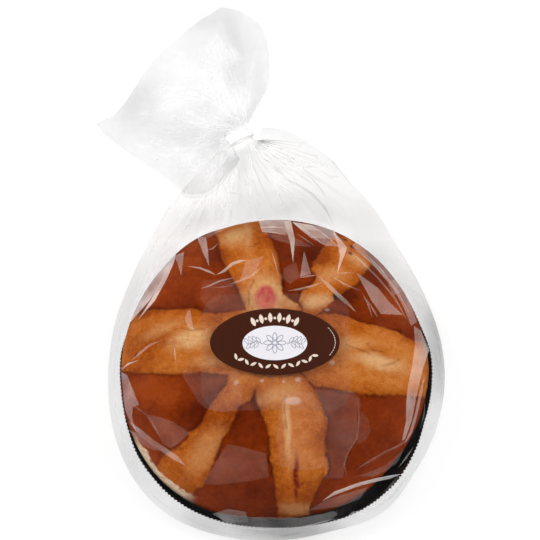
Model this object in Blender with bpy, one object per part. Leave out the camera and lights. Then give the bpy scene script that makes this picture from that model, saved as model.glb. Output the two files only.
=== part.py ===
"""Praline brioche in a gathered clear bag: the filled bag, the band round its neck and its label.

Metres, +Z up. The origin is the centre of the flat underside. The bag's neck and its
fanned tail lie towards +Y.
"""

import math
import random

import bmesh
import bpy
from mathutils import Vector
from mathutils.geometry import delaunay_2d_cdt

# The film over the loaf is half an ellipsoid above its widest line.
DOME_RADIUS = 0.1015
DOME_FOOT = 0.026
DOME_TOP = 0.078

# Where the bag stands on the table, and the height of its widest line.
FOOT_RADIUS = 0.103
WALL_BULGE = 0.0015
RIM_HEIGHT = 0.022

# Outline of the bag from above: direction from the origin in degrees, and reach.
BAG_REACH = (
    (-104, 0.1105),
    (-75, 0.1077),
    (-53, 0.1128),
    (-37, 0.1092),
    (0, 0.1083),
    (28, 0.109),
    (48, 0.1162),
    (62, 0.129),
    (70, 0.1375),
    (78, 0.150),
    (90, 0.1632),
    (98, 0.1602),
    (112, 0.142),
    (132, 0.1228),
    (150, 0.1126),
    (180, 0.109),
    (228, 0.1155),
)
RIM_START = 93.5
RIM_END = 104
RIM_STEPS = 66

# The neck: a flattened waist where the film is gathered, seen from above at NECK_TURN.
NECK = Vector((-0.024, 0.1555, 0.033))
NECK_TURN = math.radians(117)
NECK_LIFT = 0.10
WAIST_HALF_WIDTH = 0.0074
WAIST_HALF_HEIGHT = 0.0046
THROAT_SWELL = 1.22
THROAT_SETBACK = 0.0065
WAIST_HALF_LENGTH = 0.0028
RING_STEPS = 44

# The pleats that run from the neck over the shoulders.
PLEAT_HEIGHT = 0.0032
PLEAT_MARGIN = 0.004
PLEAT_REACHES = (0.007, 0.021, 0.041, 0.066)
PLEAT_SPAN = (math.radians(2), math.radians(-128))

# The facets of the film over the loaf.
FACET_SPACING = 0.025
FACET_JITTER = 0.30
FACET_SWELL = 0.0011
FACET_SEED = 11

# The tail: a fan from the neck, direction seen from above in degrees, and reach.
TAIL_REACH = (
    (62, 0.0375),
    (70, 0.0565),
    (80, 0.081),
    (90, 0.093),
    (98, 0.0962),
    (104, 0.0912),
    (112, 0.0862),
    (123, 0.0812),
    (135, 0.079),
    (152, 0.0778),
    (162, 0.0802),
    (169, 0.085),
    (174, 0.0968),
    (184, 0.0805),
    (194, 0.0685),
    (206, 0.060),
    (215, 0.058),
    (231, 0.0555),
)
TAIL_STEPS = 6
TAIL_HALF_THICKNESS = 0.0045
TAIL_FOLD = 0.0065
TAIL_JITTER = 0.35
TAIL_RISE = 0.002
FLAP_RISE = 0.017
TAIL_SEED = 4

# The band that closes the neck.
BAND_WIDTH = 0.0042
BAND_THICKNESS = 0.0009
BAND_CLEARANCE = 0.0003
BAND_ROUND = 0.0002

# The oval label, and the clear sheet under it that holds it on the film.
LABEL_CENTRE = (-0.0015, 0.0075)
LABEL_HALF_LENGTH = 0.0402
LABEL_HALF_WIDTH = 0.0212
LABEL_STEPS = 56
SHEET_CENTRE = (-0.0010, 0.0020)
SHEET_HALF_LENGTH = 0.0462
SHEET_HALF_WIDTH = 0.0370
SHEET_CORNER = 0.014
SHEET_CORNER_STEPS = 6
PLATE_THICKNESS = 0.0003
PLATE_CLEARANCE = 0.0003
PLATE_FACET = 0.0075


def lerp(a, b, share):
    return a + (b - a) * share


def cubic(before, start, end, after, share):
    """A smooth curve from start to end, with its slopes taken from the values on both sides."""
    slope_in = 0.5 * (end - before)
    slope_out = 0.5 * (after - start)
    square = share * share
    cube = square * share
    rise = 3 * square - 2 * cube
    bend_in = cube - 2 * square + share
    bend_out = cube - square
    return lerp(start, end, rise) + slope_in * bend_in + slope_out * bend_out


def bag_reach(turn):
    """Reach of the bag's outline from the origin, in the direction turn, in radians."""
    count = len(BAG_REACH)
    first = BAG_REACH[0][0]
    degrees = (math.degrees(turn) - first) % 360 + first
    index = max(i for i in range(count) if BAG_REACH[i][0] <= degrees)
    start = BAG_REACH[index][0]
    end = BAG_REACH[index + 1][0] if index + 1 < count else first + 360
    share = (degrees - start) / (end - start)
    reaches = [BAG_REACH[(index + k) % count][1] for k in (-1, 0, 1, 2)]
    return cubic(*reaches, share)


def rim_height(reach):
    """Height of the bag's widest line, which climbs to the neck where the outline reaches far."""
    climb = (reach - DOME_RADIUS) / (NECK.y - DOME_RADIUS)
    climb = min(max(climb - 0.2, 0.0), 1.0)
    return lerp(RIM_HEIGHT, NECK.z - 0.002, climb)


def film_height(x, y):
    """Height of the taut film: on the dome, then straight from it to the bag's widest line."""
    radius = math.hypot(x, y)
    reach = bag_reach(math.atan2(y, x))
    rim = rim_height(reach)
    rise = DOME_TOP - DOME_FOOT
    across = reach / DOME_RADIUS
    up = (rim - DOME_FOOT) / rise
    tangent = math.atan2(up, across) + math.acos(1 / math.hypot(across, up))
    leave = DOME_RADIUS * math.cos(tangent)
    if radius <= leave:
        return DOME_FOOT + rise * math.sqrt(1 - (radius / DOME_RADIUS) ** 2)
    start = DOME_FOOT + rise * math.sin(tangent)
    return lerp(start, rim, min((radius - leave) / (reach - leave), 1.0))


def neck_axes():
    """The neck's direction, and the two directions across it."""
    along = Vector((math.cos(NECK_TURN), math.sin(NECK_TURN), NECK_LIFT)).normalized()
    across = Vector((math.sin(NECK_TURN), -math.cos(NECK_TURN), 0))
    return along, across, across.cross(along)


def neck_ring(offset, swell, pleat=0.0, steps=RING_STEPS):
    """An oval of points round the neck. The first is at its right end, and they go over the top."""
    along, across, upright = neck_axes()
    centre = NECK + along * offset
    ring = []
    for step in range(steps):
        turn = math.tau * step / steps
        depth = swell * (1 + pleat * (-1) ** step)
        side = across * (math.cos(turn) * WAIST_HALF_WIDTH * swell)
        rise = upright * (math.sin(turn) * WAIST_HALF_HEIGHT * depth)
        ring.append(centre + side + rise)
    return ring


def room_ahead(x, y):
    """How far inside the bag's outline a place is, along the line from the origin."""
    return bag_reach(math.atan2(y, x)) - math.hypot(x, y)


def rim_points():
    """The bag's widest line, from the right of the throat round the front to its left."""
    start = math.radians(RIM_START)
    end = math.radians(RIM_END - 360)
    points = []
    for step in range(RIM_STEPS + 1):
        turn = lerp(start, end, step / RIM_STEPS)
        reach = bag_reach(turn)
        height = rim_height(reach)
        points.append(Vector((reach * math.cos(turn), reach * math.sin(turn), height)))
    return points


def pleat_points(throat):
    """Rows of points from the throat over the shoulders, alternately high and low."""
    rows = []
    count = len(throat)
    for index in range(1, count - 1):
        turn = lerp(*PLEAT_SPAN, index / (count - 1))
        start = throat[index]
        row = [start]
        for reach in PLEAT_REACHES:
            x = start.x + reach * math.cos(turn)
            y = start.y + reach * math.sin(turn)
            if room_ahead(x, y) < PLEAT_MARGIN:
                break
            fade = 1 - reach / (1.3 * PLEAT_REACHES[-1])
            height = PLEAT_HEIGHT * fade * (-1) ** index
            level = lerp(start.z, film_height(x, y), min(reach / PLEAT_REACHES[1], 1))
            row.append(Vector((x, y, level + height)))
        rows.append(row)
    return rows


def facet_points(taken):
    """Points spread over the dome, shifted and lifted by a seeded rule, clear of those taken."""
    draw = random.Random(FACET_SEED)
    points = []
    rows = math.ceil(NECK.y / FACET_SPACING)
    for row in range(-rows, rows + 1):
        for column in range(-rows, rows + 1):
            x = (column + 0.5 * (row % 2)) * FACET_SPACING
            y = row * FACET_SPACING * math.sqrt(0.75)
            lift = FACET_SWELL * draw.uniform(-0.4, 1)
            shift_x = draw.uniform(-1, 1) * FACET_JITTER * FACET_SPACING
            shift_y = draw.uniform(-1, 1) * FACET_JITTER * FACET_SPACING
            under_sheet = math.hypot(x, y) < SHEET_HALF_LENGTH * 1.45
            if under_sheet:
                lift = 0.0
            else:
                x += shift_x
                y += shift_y
            inside = room_ahead(x, y) > FACET_SPACING * 0.4
            clear = all(math.dist((x, y), other.xy) > FACET_SPACING * 0.5 for other in taken)
            if inside and clear:
                points.append(Vector((x, y, film_height(x, y) + lift)))
    return points


def add_face(mesh, corners):
    """Adds the face of these corners, without those that coincide."""
    kept = []
    for corner in corners:
        if corner not in kept:
            kept.append(corner)
    if len(kept) > 2:
        mesh.faces.new(kept)


def bridge(mesh, first, second, closed):
    """Joins two rows of vertices of the same length."""
    count = len(first)
    for i in range(count if closed else count - 1):
        j = (i + 1) % count
        add_face(mesh, (first[i], first[j], second[j], second[i]))


def add_top_sheet(mesh, throat_top, rim):
    """The upper film: facets between the throat, the widest line and the pleats."""
    border = list(throat_top) + list(reversed(rim[1:-1]))
    points = [vertex.co.copy() for vertex in border]
    edges = [(i, (i + 1) % len(border)) for i in range(len(border))]
    rows = pleat_points([vertex.co for vertex in throat_top])
    for index, row in enumerate(rows):
        previous = index + 1
        for point in row[1:]:
            points.append(point)
            edges.append((previous, len(points) - 1))
            previous = len(points) - 1
    points += facet_points(points)
    flat = [point.xy for point in points]
    result = delaunay_2d_cdt(flat, edges, [], 1, 1e-7)
    vertices = []
    for place, sources in zip(result[0], result[3]):
        source = sources[0] if sources else len(points)
        if source < len(border):
            vertices.append(border[source])
        elif source < len(points):
            vertices.append(mesh.verts.new(points[source]))
        else:
            vertices.append(mesh.verts.new((*place, film_height(*place))))
    for face in result[2]:
        add_face(mesh, [vertices[i] for i in face])


def add_lower_film(mesh, throat_low, rim):
    """The walls, the underside of the shoulders and the flat bottom."""
    border = list(rim) + list(throat_low)[1:-1]
    middle = []
    foot = []
    for vertex in border:
        turn = math.atan2(vertex.co.y, vertex.co.x)
        outward = Vector((math.cos(turn), math.sin(turn), 0))
        ground = outward * FOOT_RADIUS
        halfway = vertex.co.lerp(ground, 0.5) + outward * WALL_BULGE
        middle.append(mesh.verts.new(halfway))
        foot.append(mesh.verts.new(ground))
    bridge(mesh, border, middle, True)
    bridge(mesh, middle, foot, True)
    mesh.faces.new(foot)


def tail_reach(turn):
    """Reach of the fanned tail from the neck, in the direction turn, in degrees."""
    for (start, near), (end, far) in zip(TAIL_REACH, TAIL_REACH[1:]):
        if turn <= end:
            return lerp(near, far, (turn - start) / (end - start))
    return TAIL_REACH[-1][1]


def tail_rays(ring_half):
    """For each point of half the ring: its ray's end, and how high the fold stands there."""
    draw = random.Random(TAIL_SEED)
    count = len(ring_half)
    rays = []
    for index in range(count):
        share = index / (count - 1)
        if 0 < index < count - 1:
            share += TAIL_JITTER * draw.uniform(-1, 1) / (count - 1)
        turn = lerp(TAIL_REACH[0][0], TAIL_REACH[-1][0], share)
        reach = tail_reach(turn)
        fold = TAIL_FOLD * draw.uniform(0.5, 1) * (-1) ** index
        rise = TAIL_RISE + FLAP_RISE * max(2 * share - 1, 0) ** 2
        angle = math.radians(turn)
        offset = Vector((math.cos(angle) * reach, math.sin(angle) * reach, rise))
        rays.append((NECK + offset, fold))
    return rays


def add_tail(mesh, ring_top, ring_low):
    """The fanned tail: two folded layers a little apart, joined at the mouth and both sides."""
    rays = tail_rays(ring_top)
    count = len(ring_top)
    upper = [list(ring_top)]
    lower = [list(ring_low)]
    for step in range(1, TAIL_STEPS + 1):
        share = step / TAIL_STEPS
        upper_row = []
        lower_row = []
        for index, (end, fold) in enumerate(rays):
            start_top = ring_top[index].co
            start_low = ring_low[index].co
            half = TAIL_HALF_THICKNESS * min(1, 2.5 * math.sin(math.pi * index / (count - 1)))
            wave = fold * share
            top = start_top.lerp(end + Vector((0, 0, wave + half)), share)
            low = start_low.lerp(end + Vector((0, 0, wave - half)), share)
            place = mesh.verts.new(top)
            upper_row.append(place)
            on_side = index in (0, count - 1)
            lower_row.append(place if on_side else mesh.verts.new(low))
        upper.append(upper_row)
        lower.append(lower_row)
    for rows in (upper, lower):
        for first, second in zip(rows, rows[1:]):
            bridge(mesh, first, second, False)
    bridge(mesh, upper[-1], lower[-1], False)


def finish_mesh(mesh, name, material, collection):
    """Points the faces outwards and makes the object."""
    bmesh.ops.triangulate(mesh, faces=[f for f in mesh.faces if len(f.verts) > 4])
    bmesh.ops.recalc_face_normals(mesh, faces=mesh.faces)
    data = bpy.data.meshes.new(name)
    mesh.to_mesh(data)
    mesh.free()
    data.materials.append(material)
    body = bpy.data.objects.new(name, data)
    collection.objects.link(body)
    return body


def make_bag(collection):
    """One closed solid: the film's outer shape with all that it holds."""
    mesh = bmesh.new()
    half = RING_STEPS // 2
    rings = []
    for offset, swell, pleat in (
        (-THROAT_SETBACK, THROAT_SWELL, 0.05),
        (-WAIST_HALF_LENGTH, 1.0, 0.0),
        (WAIST_HALF_LENGTH, 1.0, 0.0),
        (THROAT_SETBACK, THROAT_SWELL, 0.05),
    ):
        rings.append([mesh.verts.new(point) for point in neck_ring(offset, swell, pleat)])
    for first, second in zip(rings, rings[1:]):
        bridge(mesh, first, second, True)
    throat = rings[0]
    throat_top = throat[: half + 1]
    throat_low = throat[half:] + throat[:1]
    rim = [throat[0]] + [mesh.verts.new(point) for point in rim_points()] + [throat[half]]
    add_top_sheet(mesh, throat_top, rim)
    add_lower_film(mesh, throat_low, rim)
    tail_ring = rings[-1]
    tail_top = tail_ring[: half + 1]
    tail_low = [tail_ring[-i % RING_STEPS] for i in range(half + 1)]
    add_tail(mesh, tail_top, tail_low)
    film = make_material("clear_film", (0.86, 0.87, 0.88), 0.12, 0.35)
    return finish_mesh(mesh, "bag", film, collection)


def make_tie(collection):
    """A closed band round the waist of the neck, with softened edges."""
    mesh = bmesh.new()
    half = BAND_WIDTH / 2
    inner = 1 + BAND_CLEARANCE / WAIST_HALF_HEIGHT
    outer = inner + BAND_THICKNESS / WAIST_HALF_HEIGHT
    soft = BAND_ROUND / WAIST_HALF_HEIGHT
    profile = (
        (-half, inner),
        (-half, outer - soft),
        (-half + BAND_ROUND, outer),
        (half - BAND_ROUND, outer),
        (half, outer - soft),
        (half, inner),
    )
    rings = []
    for offset, swell in profile:
        rings.append([mesh.verts.new(point) for point in neck_ring(offset, swell)])
    for first, second in zip(rings, rings[1:] + rings[:1]):
        bridge(mesh, first, second, True)
    white = make_material("white_band", (0.9, 0.9, 0.9), 0.4, 1.0)
    return finish_mesh(mesh, "tie", white, collection)


def label_outline():
    loop = []
    for step in range(LABEL_STEPS):
        turn = math.tau * step / LABEL_STEPS
        loop.append((LABEL_HALF_LENGTH * math.cos(turn), LABEL_HALF_WIDTH * math.sin(turn)))
    return loop


def sheet_outline():
    """A rectangle with round corners, with points along its sides so that it can bend."""
    corners = []
    for corner in range(4):
        side_x = 1 if corner in (0, 3) else -1
        side_y = 1 if corner < 2 else -1
        for step in range(SHEET_CORNER_STEPS + 1):
            turn = math.radians(90 * (corner + step / SHEET_CORNER_STEPS))
            x = side_x * (SHEET_HALF_LENGTH - SHEET_CORNER) + SHEET_CORNER * math.cos(turn)
            y = side_y * (SHEET_HALF_WIDTH - SHEET_CORNER) + SHEET_CORNER * math.sin(turn)
            corners.append(Vector((x, y)))
    loop = []
    for first, second in zip(corners, corners[1:] + corners[:1]):
        parts = max(1, round((second - first).length / PLATE_FACET))
        loop += [first.lerp(second, part / parts) for part in range(parts)]
    return loop


def make_plate(name, outline, centre, layer, material, collection):
    """A thin plate of this outline that follows the film, as the first or second layer on it."""
    low = PLATE_CLEARANCE + layer * (PLATE_CLEARANCE + PLATE_THICKNESS)
    flat = [Vector(point) for point in outline]
    edges = [(i, (i + 1) % len(flat)) for i in range(len(flat))]
    rows = int(max(point.length for point in flat) / PLATE_FACET)
    for row in range(-rows, rows + 1):
        for column in range(-rows, rows + 1):
            flat.append(Vector((column + 0.5 * (row % 2), row)) * PLATE_FACET)
    result = delaunay_2d_cdt(flat, edges, [], 1, 1e-7)
    places = [place + Vector(centre) for place in result[0]]
    mesh = bmesh.new()
    for lift in (low, low + PLATE_THICKNESS):
        vertices = [mesh.verts.new((x, y, film_height(x, y) + lift)) for x, y in places]
        for face in result[2]:
            mesh.faces.new([vertices[i] for i in face])
    borders = [edge for edge in mesh.edges if edge.is_boundary]
    bmesh.ops.bridge_loops(mesh, edges=borders)
    unused = [vertex for vertex in mesh.verts if not vertex.link_faces]
    bmesh.ops.delete(mesh, geom=unused, context="VERTS")
    return finish_mesh(mesh, name, material, collection)


def make_material(name, colour, roughness, alpha):
    material = bpy.data.materials.new(name)
    material.use_nodes = True
    shader = material.node_tree.nodes["Principled BSDF"]
    shader.inputs["Base Color"].default_value = (*colour, 1)
    shader.inputs["Roughness"].default_value = roughness
    shader.inputs["Metallic"].default_value = 0.0
    shader.inputs["Alpha"].default_value = alpha
    return material


def main():
    for old in list(bpy.data.objects):
        bpy.data.objects.remove(old)
    collection = bpy.data.collections.new("praline_brioche")
    bpy.context.scene.collection.children.link(collection)
    make_bag(collection)
    make_tie(collection)
    clear = make_material("clear_sheet", (0.90, 0.86, 0.80), 0.15, 0.4)
    make_plate("label_sheet", sheet_outline(), SHEET_CENTRE, 0, clear, collection)
    brown = make_material("label_brown", (0.045, 0.017, 0.012), 0.35, 1.0)
    make_plate("label", label_outline(), LABEL_CENTRE, 1, brown, collection)


main()
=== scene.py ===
"""Looks of the praline brioche: the loaf in its fluted case, the clear film, the label and the band."""

import math
import random

import bmesh
import bpy
import numpy as np
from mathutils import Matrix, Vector, noise
from mathutils.geometry import delaunay_2d_cdt


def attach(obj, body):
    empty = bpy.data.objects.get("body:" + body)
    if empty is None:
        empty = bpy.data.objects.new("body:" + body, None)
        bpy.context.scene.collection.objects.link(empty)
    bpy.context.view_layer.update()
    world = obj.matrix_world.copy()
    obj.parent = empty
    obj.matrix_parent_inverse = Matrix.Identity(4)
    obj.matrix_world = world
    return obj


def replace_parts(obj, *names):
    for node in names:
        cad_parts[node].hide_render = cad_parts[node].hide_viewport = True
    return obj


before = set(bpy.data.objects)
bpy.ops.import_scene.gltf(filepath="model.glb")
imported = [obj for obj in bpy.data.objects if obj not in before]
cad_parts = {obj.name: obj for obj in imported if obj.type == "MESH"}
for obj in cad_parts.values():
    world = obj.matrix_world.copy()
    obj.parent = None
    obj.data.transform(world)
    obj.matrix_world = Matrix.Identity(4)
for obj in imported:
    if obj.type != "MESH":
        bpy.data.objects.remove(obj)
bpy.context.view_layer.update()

# The photograph's view: how far the camera looks down, from where, and at what.
PICTURE_SIZE = 540
VIEW_ELEVATION = math.radians(75)
VIEW_DISTANCE = 1.25
VIEW_TARGET = Vector((-0.0045, 0.066, 0.03))
VIEW_HALF_WIDTH = 0.1755
SENSOR_WIDTH = 36.0

# How a pixel's line of sight is followed: from this far above the film down, in steps, and then by
# halving the last one.
SIGHT_START = 0.004
SIGHT_STEPS = 160
SIGHT_HALVINGS = 10

# The film over the loaf, as the bag's solid has it: a dome, and straight from it to the bag's widest
# line, whose reach from the origin goes by direction in degrees.
DOME_RADIUS = 0.1015
DOME_FOOT = 0.026
DOME_TOP = 0.078
FOOT_RADIUS = 0.103
WALL_BULGE = 0.0015
BAG_REACH = (
    (-104, 0.1105), (-75, 0.1077), (-53, 0.1128), (-37, 0.1092), (0, 0.1083), (28, 0.109), (48, 0.1162),
    (62, 0.129), (70, 0.1375), (78, 0.15), (90, 0.1632), (98, 0.1602), (112, 0.142), (132, 0.1228),
    (150, 0.1126), (180, 0.109), (228, 0.1155),
)
RIM_START = 93.5
RIM_END = 104
RIM_STEPS = 132
RIM_HEIGHT = 0.022
RIM_UNDER_NECK = 0.002
RIM_CLIMB_START = 0.2

# The neck: its middle, direction and slope, and its oval under the band and where the film leaves it.
NECK = Vector((-0.024, 0.1555, 0.033))
NECK_TURN = math.radians(117)
NECK_LIFT = 0.1
WAIST_HALF_WIDTH = 0.0074
WAIST_HALF_HEIGHT = 0.0046
WAIST_HALF_LENGTH = 0.0028
WAIST_SWELL = 0.98
THROAT_SWELL = 1.22
THROAT_SETBACK = 0.0065
THROAT_PLEAT = 0.05
RING_STEPS = 88
WAIST_RING = (0.0, WAIST_SWELL, 0.0)
THROAT_RING = (-THROAT_SETBACK, THROAT_SWELL, THROAT_PLEAT)
BODY_RINGS = (THROAT_RING, (-WAIST_HALF_LENGTH, 1.0, 0.0), WAIST_RING)
TAIL_RINGS = (WAIST_RING, (WAIST_HALF_LENGTH, 1.0, 0.0), (THROAT_SETBACK, THROAT_SWELL, 0.0))

# Pleats that run out from the neck over the shoulders, with their points at these distances.
PLEAT_HEIGHT = 0.0022
PLEAT_MARGIN = 0.004
PLEAT_REACHES = (0.004, 0.01, 0.018, 0.028, 0.041, 0.056, 0.074)
PLEAT_SPAN = (math.radians(2), math.radians(-128))
PLEAT_FADE = 1.3

# Creases by a seeded rule: how many run out from the neck and how many follow the widest line, the
# ends and lengths that they may have, their widths and heights, and their painted highlight, or
# painted shade below 0.
NECK_CREASES = 34
NECK_CREASE_START = (0.01, 0.05)
NECK_CREASE_LENGTH = (0.014, 0.04)
NECK_CREASE_TURNS = (math.radians(-12), math.radians(-128))
NECK_CREASE_BEND = 0.06
LOAF_EDGE = 0.101
RIM_CREASES = 34
RIM_CREASE_INSET = (0.0015, 0.0065)
RIM_CREASE_LEAST_INSET = 0.0012
RIM_CREASE_DRIFT = 0.0012
RIM_CREASE_SPAN = (math.radians(5), math.radians(16))
RIM_CREASE_WIDTH = 0.6
CREASE_PARTS = 4
CREASE_WIDTH = (0.0008, 0.0022)
CREASE_LIFT = 0.0006
CREASE_HIGHLIGHT_AND_SHADE = (-0.1, 0.4)
CREASE_SEED = 5

# The facets of the taut film: points at a spacing, shifted and lifted by a seeded rule. They keep off
# the label's sheet, the outline and other points by shares of the spacing, and the line round the sheet
# has its points at another share.
FACET_SPACING = 0.021
FACET_JITTER = 0.42
FACET_SWELL = 0.0013
FACET_LIFTS = (-0.4, 1)
FACET_OFF_SHEET = 0.35
FACET_OFF_OUTLINE = 0.4
FACET_OFF_OTHERS = 0.42
FACET_ROUND_SHEET = 0.6
FACET_SEED = 23
FACET_HAZE = 0.004
CROSSING_LIFT = 0.0003
MERGE_DISTANCE = 1e-7

# The fanned tail: its reach from the neck by direction in degrees, its two layers, and its lobes,
# pleats and creases. One side rises as a flap, which is milky between two shares of the fan.
TAIL_REACH = (
    (62, 0.0375), (70, 0.0565), (80, 0.081), (90, 0.093), (98, 0.0962), (104, 0.0912), (112, 0.0862),
    (123, 0.0812), (135, 0.079), (152, 0.0778), (162, 0.0802), (169, 0.085), (174, 0.0968), (184, 0.0805),
    (194, 0.0685), (206, 0.06), (215, 0.058), (231, 0.0555), (244, 0.047), (256, 0.03), (270, 0.021),
)
TAIL_RING_STEPS = 320
TAIL_STEPS = 36
TAIL_HALF_THICKNESS = 0.004
TAIL_LOBE = 0.0085
TAIL_LOBES = 6.0
TAIL_PLEAT = 0.0012
TAIL_PLEATS = 13
TAIL_CREASE = 0.0016
TAIL_CREASES = 6.0
TAIL_RISE = 0.002
# Painted highlight along the tail's creases and streaks: how strong, how many across the fan, and the shares
# along it where it fades.
TAIL_STREAK_HIGHLIGHT = 0.44
TAIL_STREAKS = 10.2
TAIL_STREAK_FADE = (0.55, 0.95)
FLAP_RISE = 0.017
FLAP_START = (0.8, 0.88)
FLAP_END = (0.92, 0.97)
FLAP_HAZE = 0.12

# The label's plates on the film, and the air bubbles under its clear sheet: centre by pixel of the
# photograph, half sizes and haze. A bubble's shoulder is at shares of its half sizes and its height.
LABEL_CENTRE = Vector((-0.0015, 0.0075))
LABEL_HALF_LENGTH = 0.0402
LABEL_HALF_WIDTH = 0.0212
SHEET_CENTRE = Vector((-0.001, 0.002))
SHEET_HALF_LENGTH = 0.0462
SHEET_HALF_WIDTH = 0.037
SHEET_CORNER = 0.014
SHEET_MARGIN = 0.0015
BUBBLES = (
    ((293, 401), 0.0062, 0.003, 0.34),
    ((236, 383), 0.002, 0.0018, 0.22),
    ((262, 381), 0.0014, 0.0013, 0.2),
    ((284, 382), 0.0013, 0.0013, 0.25),
    ((298, 380), 0.0022, 0.0019, 0.18),
    ((332, 363), 0.0022, 0.002, 0.16),
    ((327, 310), 0.0018, 0.0013, 0.2),
)
BUBBLE_LIFT = 0.0003
BUBBLE_STEPS = 20
BUBBLE_SHOULDER = (0.6, 0.8)
PLATE_THICKNESS = 0.0003
PLATE_CLEARANCE = 0.0003
PLATE_FACET = 0.003

# Folds of the film, by pixels of the photograph: points, width, height of the ridge and haze. The
# haze is a painted highlight along the fold, partly the whitening of creased film; below 0 it is
# painted shade.
FOLDS = (
    (
        ((322, 501), (335, 493), (346, 489), (360, 484), (376, 480), (390, 477), (402, 474)),
        0.0018, 0.0014, 0.46,
    ),
    (((355, 470), (370, 461), (385, 452), (400, 445), (410, 437)), 0.0012, 0.0008, 0.1),
    (((357, 476), (372, 474), (386, 468), (396, 460), (405, 448)), 0.003, 0.001, 0.07),
    (
        ((353, 391), (358, 400), (359, 418), (357, 438), (348, 452), (344, 465), (348, 478)),
        0.0011, 0.0006, 0.08,
    ),
    (((358, 392), (360, 404), (360, 414)), 0.0008, 0.0005, 0.04),
    (((128, 402), (137, 408), (147, 415), (156, 430), (164, 444)), 0.001, 0.0008, 0.09),
    (((128, 421), (140, 432), (152, 442), (164, 450), (176, 458), (186, 466)), 0.003, 0.001, 0.24),
    (((187, 266), (200, 268), (210, 272), (216, 275)), 0.0014, 0.001, 0.4),
    (((216, 275), (224, 271), (232, 264), (240, 261), (247, 260)), 0.0019, 0.0012, 0.45),
    (((200, 289), (209, 286), (220, 281), (236, 277)), 0.0012, 0.0008, 0.3),
    (((228, 285), (240, 281), (252, 276), (262, 266)), 0.0016, 0.001, 0.25),
    (((209, 288), (222, 287), (236, 285)), 0.0008, 0.0005, 0.2),
    (((205, 251), (212, 249), (219, 243)), 0.001, 0.0006, 0.25),
    (((258, 228), (272, 227), (286, 228)), 0.001, 0.0006, 0.5),
    (((262, 232), (276, 233), (288, 236)), 0.001, 0.0006, 0.35),
    (((271, 249), (275, 262), (279, 278)), 0.0009, 0.0006, 0.28),
    (((293, 223), (303, 229), (314, 237), (325, 246)), 0.0012, 0.0006, 0.3),
    (((309, 225), (320, 231), (330, 239), (338, 247)), 0.0011, 0.0006, 0.34),
    (((296, 233), (305, 239), (315, 246)), 0.001, 0.0005, 0.22),
    (((345, 247), (362, 262), (380, 280), (396, 300), (408, 322)), 0.0014, 0.0007, 0.16),
    (((352, 247), (372, 263), (390, 283), (404, 305)), 0.0018, 0.0007, 0.2),
    (((362, 250), (380, 268), (398, 292), (410, 315)), 0.0012, 0.0007, 0.24),
    (((299, 278), (308, 276), (319, 275)), 0.0012, 0.0008, 0.35),
    (((287, 291), (300, 289), (312, 286), (326, 281)), 0.0014, 0.0009, 0.28),
    (((336, 274), (345, 273), (356, 272)), 0.0008, 0.0005, 0.3),
    (((318, 276), (328, 285), (337, 294), (346, 302), (357, 313)), 0.0026, 0.0012, 0.28),
    (((330, 275), (344, 284), (361, 291)), 0.0016, 0.0008, 0.18),
    (((362, 293), (368, 303), (372, 318)), 0.0018, 0.0008, 0.16),
    (((369, 302), (374, 311), (378, 318)), 0.0014, 0.0008, 0.2),
    (((425, 374), (421, 392), (416, 415), (411, 432), (404, 445)), 0.0018, 0.0008, 0.25),
    (((398, 468), (406, 458), (414, 446)), 0.0011, 0.0006, 0.2),
    (((384, 492), (392, 484), (400, 474)), 0.0009, 0.0006, 0.16),
    (((352, 517), (366, 509), (380, 500), (392, 490)), 0.0014, 0.0008, 0.28),
    (((425, 400), (424, 415), (420, 430)), 0.0008, 0.0005, 0.14),
    (((121, 370), (128, 364), (139, 360)), 0.0014, 0.0008, 0.55),
    (((130, 362), (140, 353), (150, 345), (162, 340)), 0.0016, 0.0008, 0.26),
    (((174, 344), (175, 354), (176, 366)), 0.0013, 0.0006, 0.18),
    (((131, 318), (139, 300), (149, 280), (163, 258)), 0.0016, 0.0008, 0.4),
    (((178, 246), (172, 262), (164, 280), (153, 300), (138, 320)), 0.003, 0.001, 0.6),
    (((280, 177), (296, 184), (312, 194), (325, 208), (334, 226)), 0.0016, 0.0012, -0.14),
    (((322, 152), (334, 163), (344, 175), (352, 187)), 0.0016, 0.001, -0.1),
    (((300, 171), (311, 178), (320, 188), (327, 200)), 0.0014, 0.001, -0.08),
    (((249, 142), (255, 150), (263, 160)), 0.0022, 0.001, 0.45),
    (((165, 215), (176, 202), (189, 186), (199, 171)), 0.0024, 0.001, 0.35),
    (((178, 220), (186, 206), (195, 190)), 0.002, 0.001, 0.4),
    (((157, 228), (167, 210), (180, 192)), 0.0014, 0.0008, -0.1),
    (((199, 222), (203, 212), (207, 202)), 0.0012, 0.0008, -0.1),
    (((222, 193), (232, 193), (243, 195)), 0.0012, 0.0008, -0.1),
)
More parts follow.
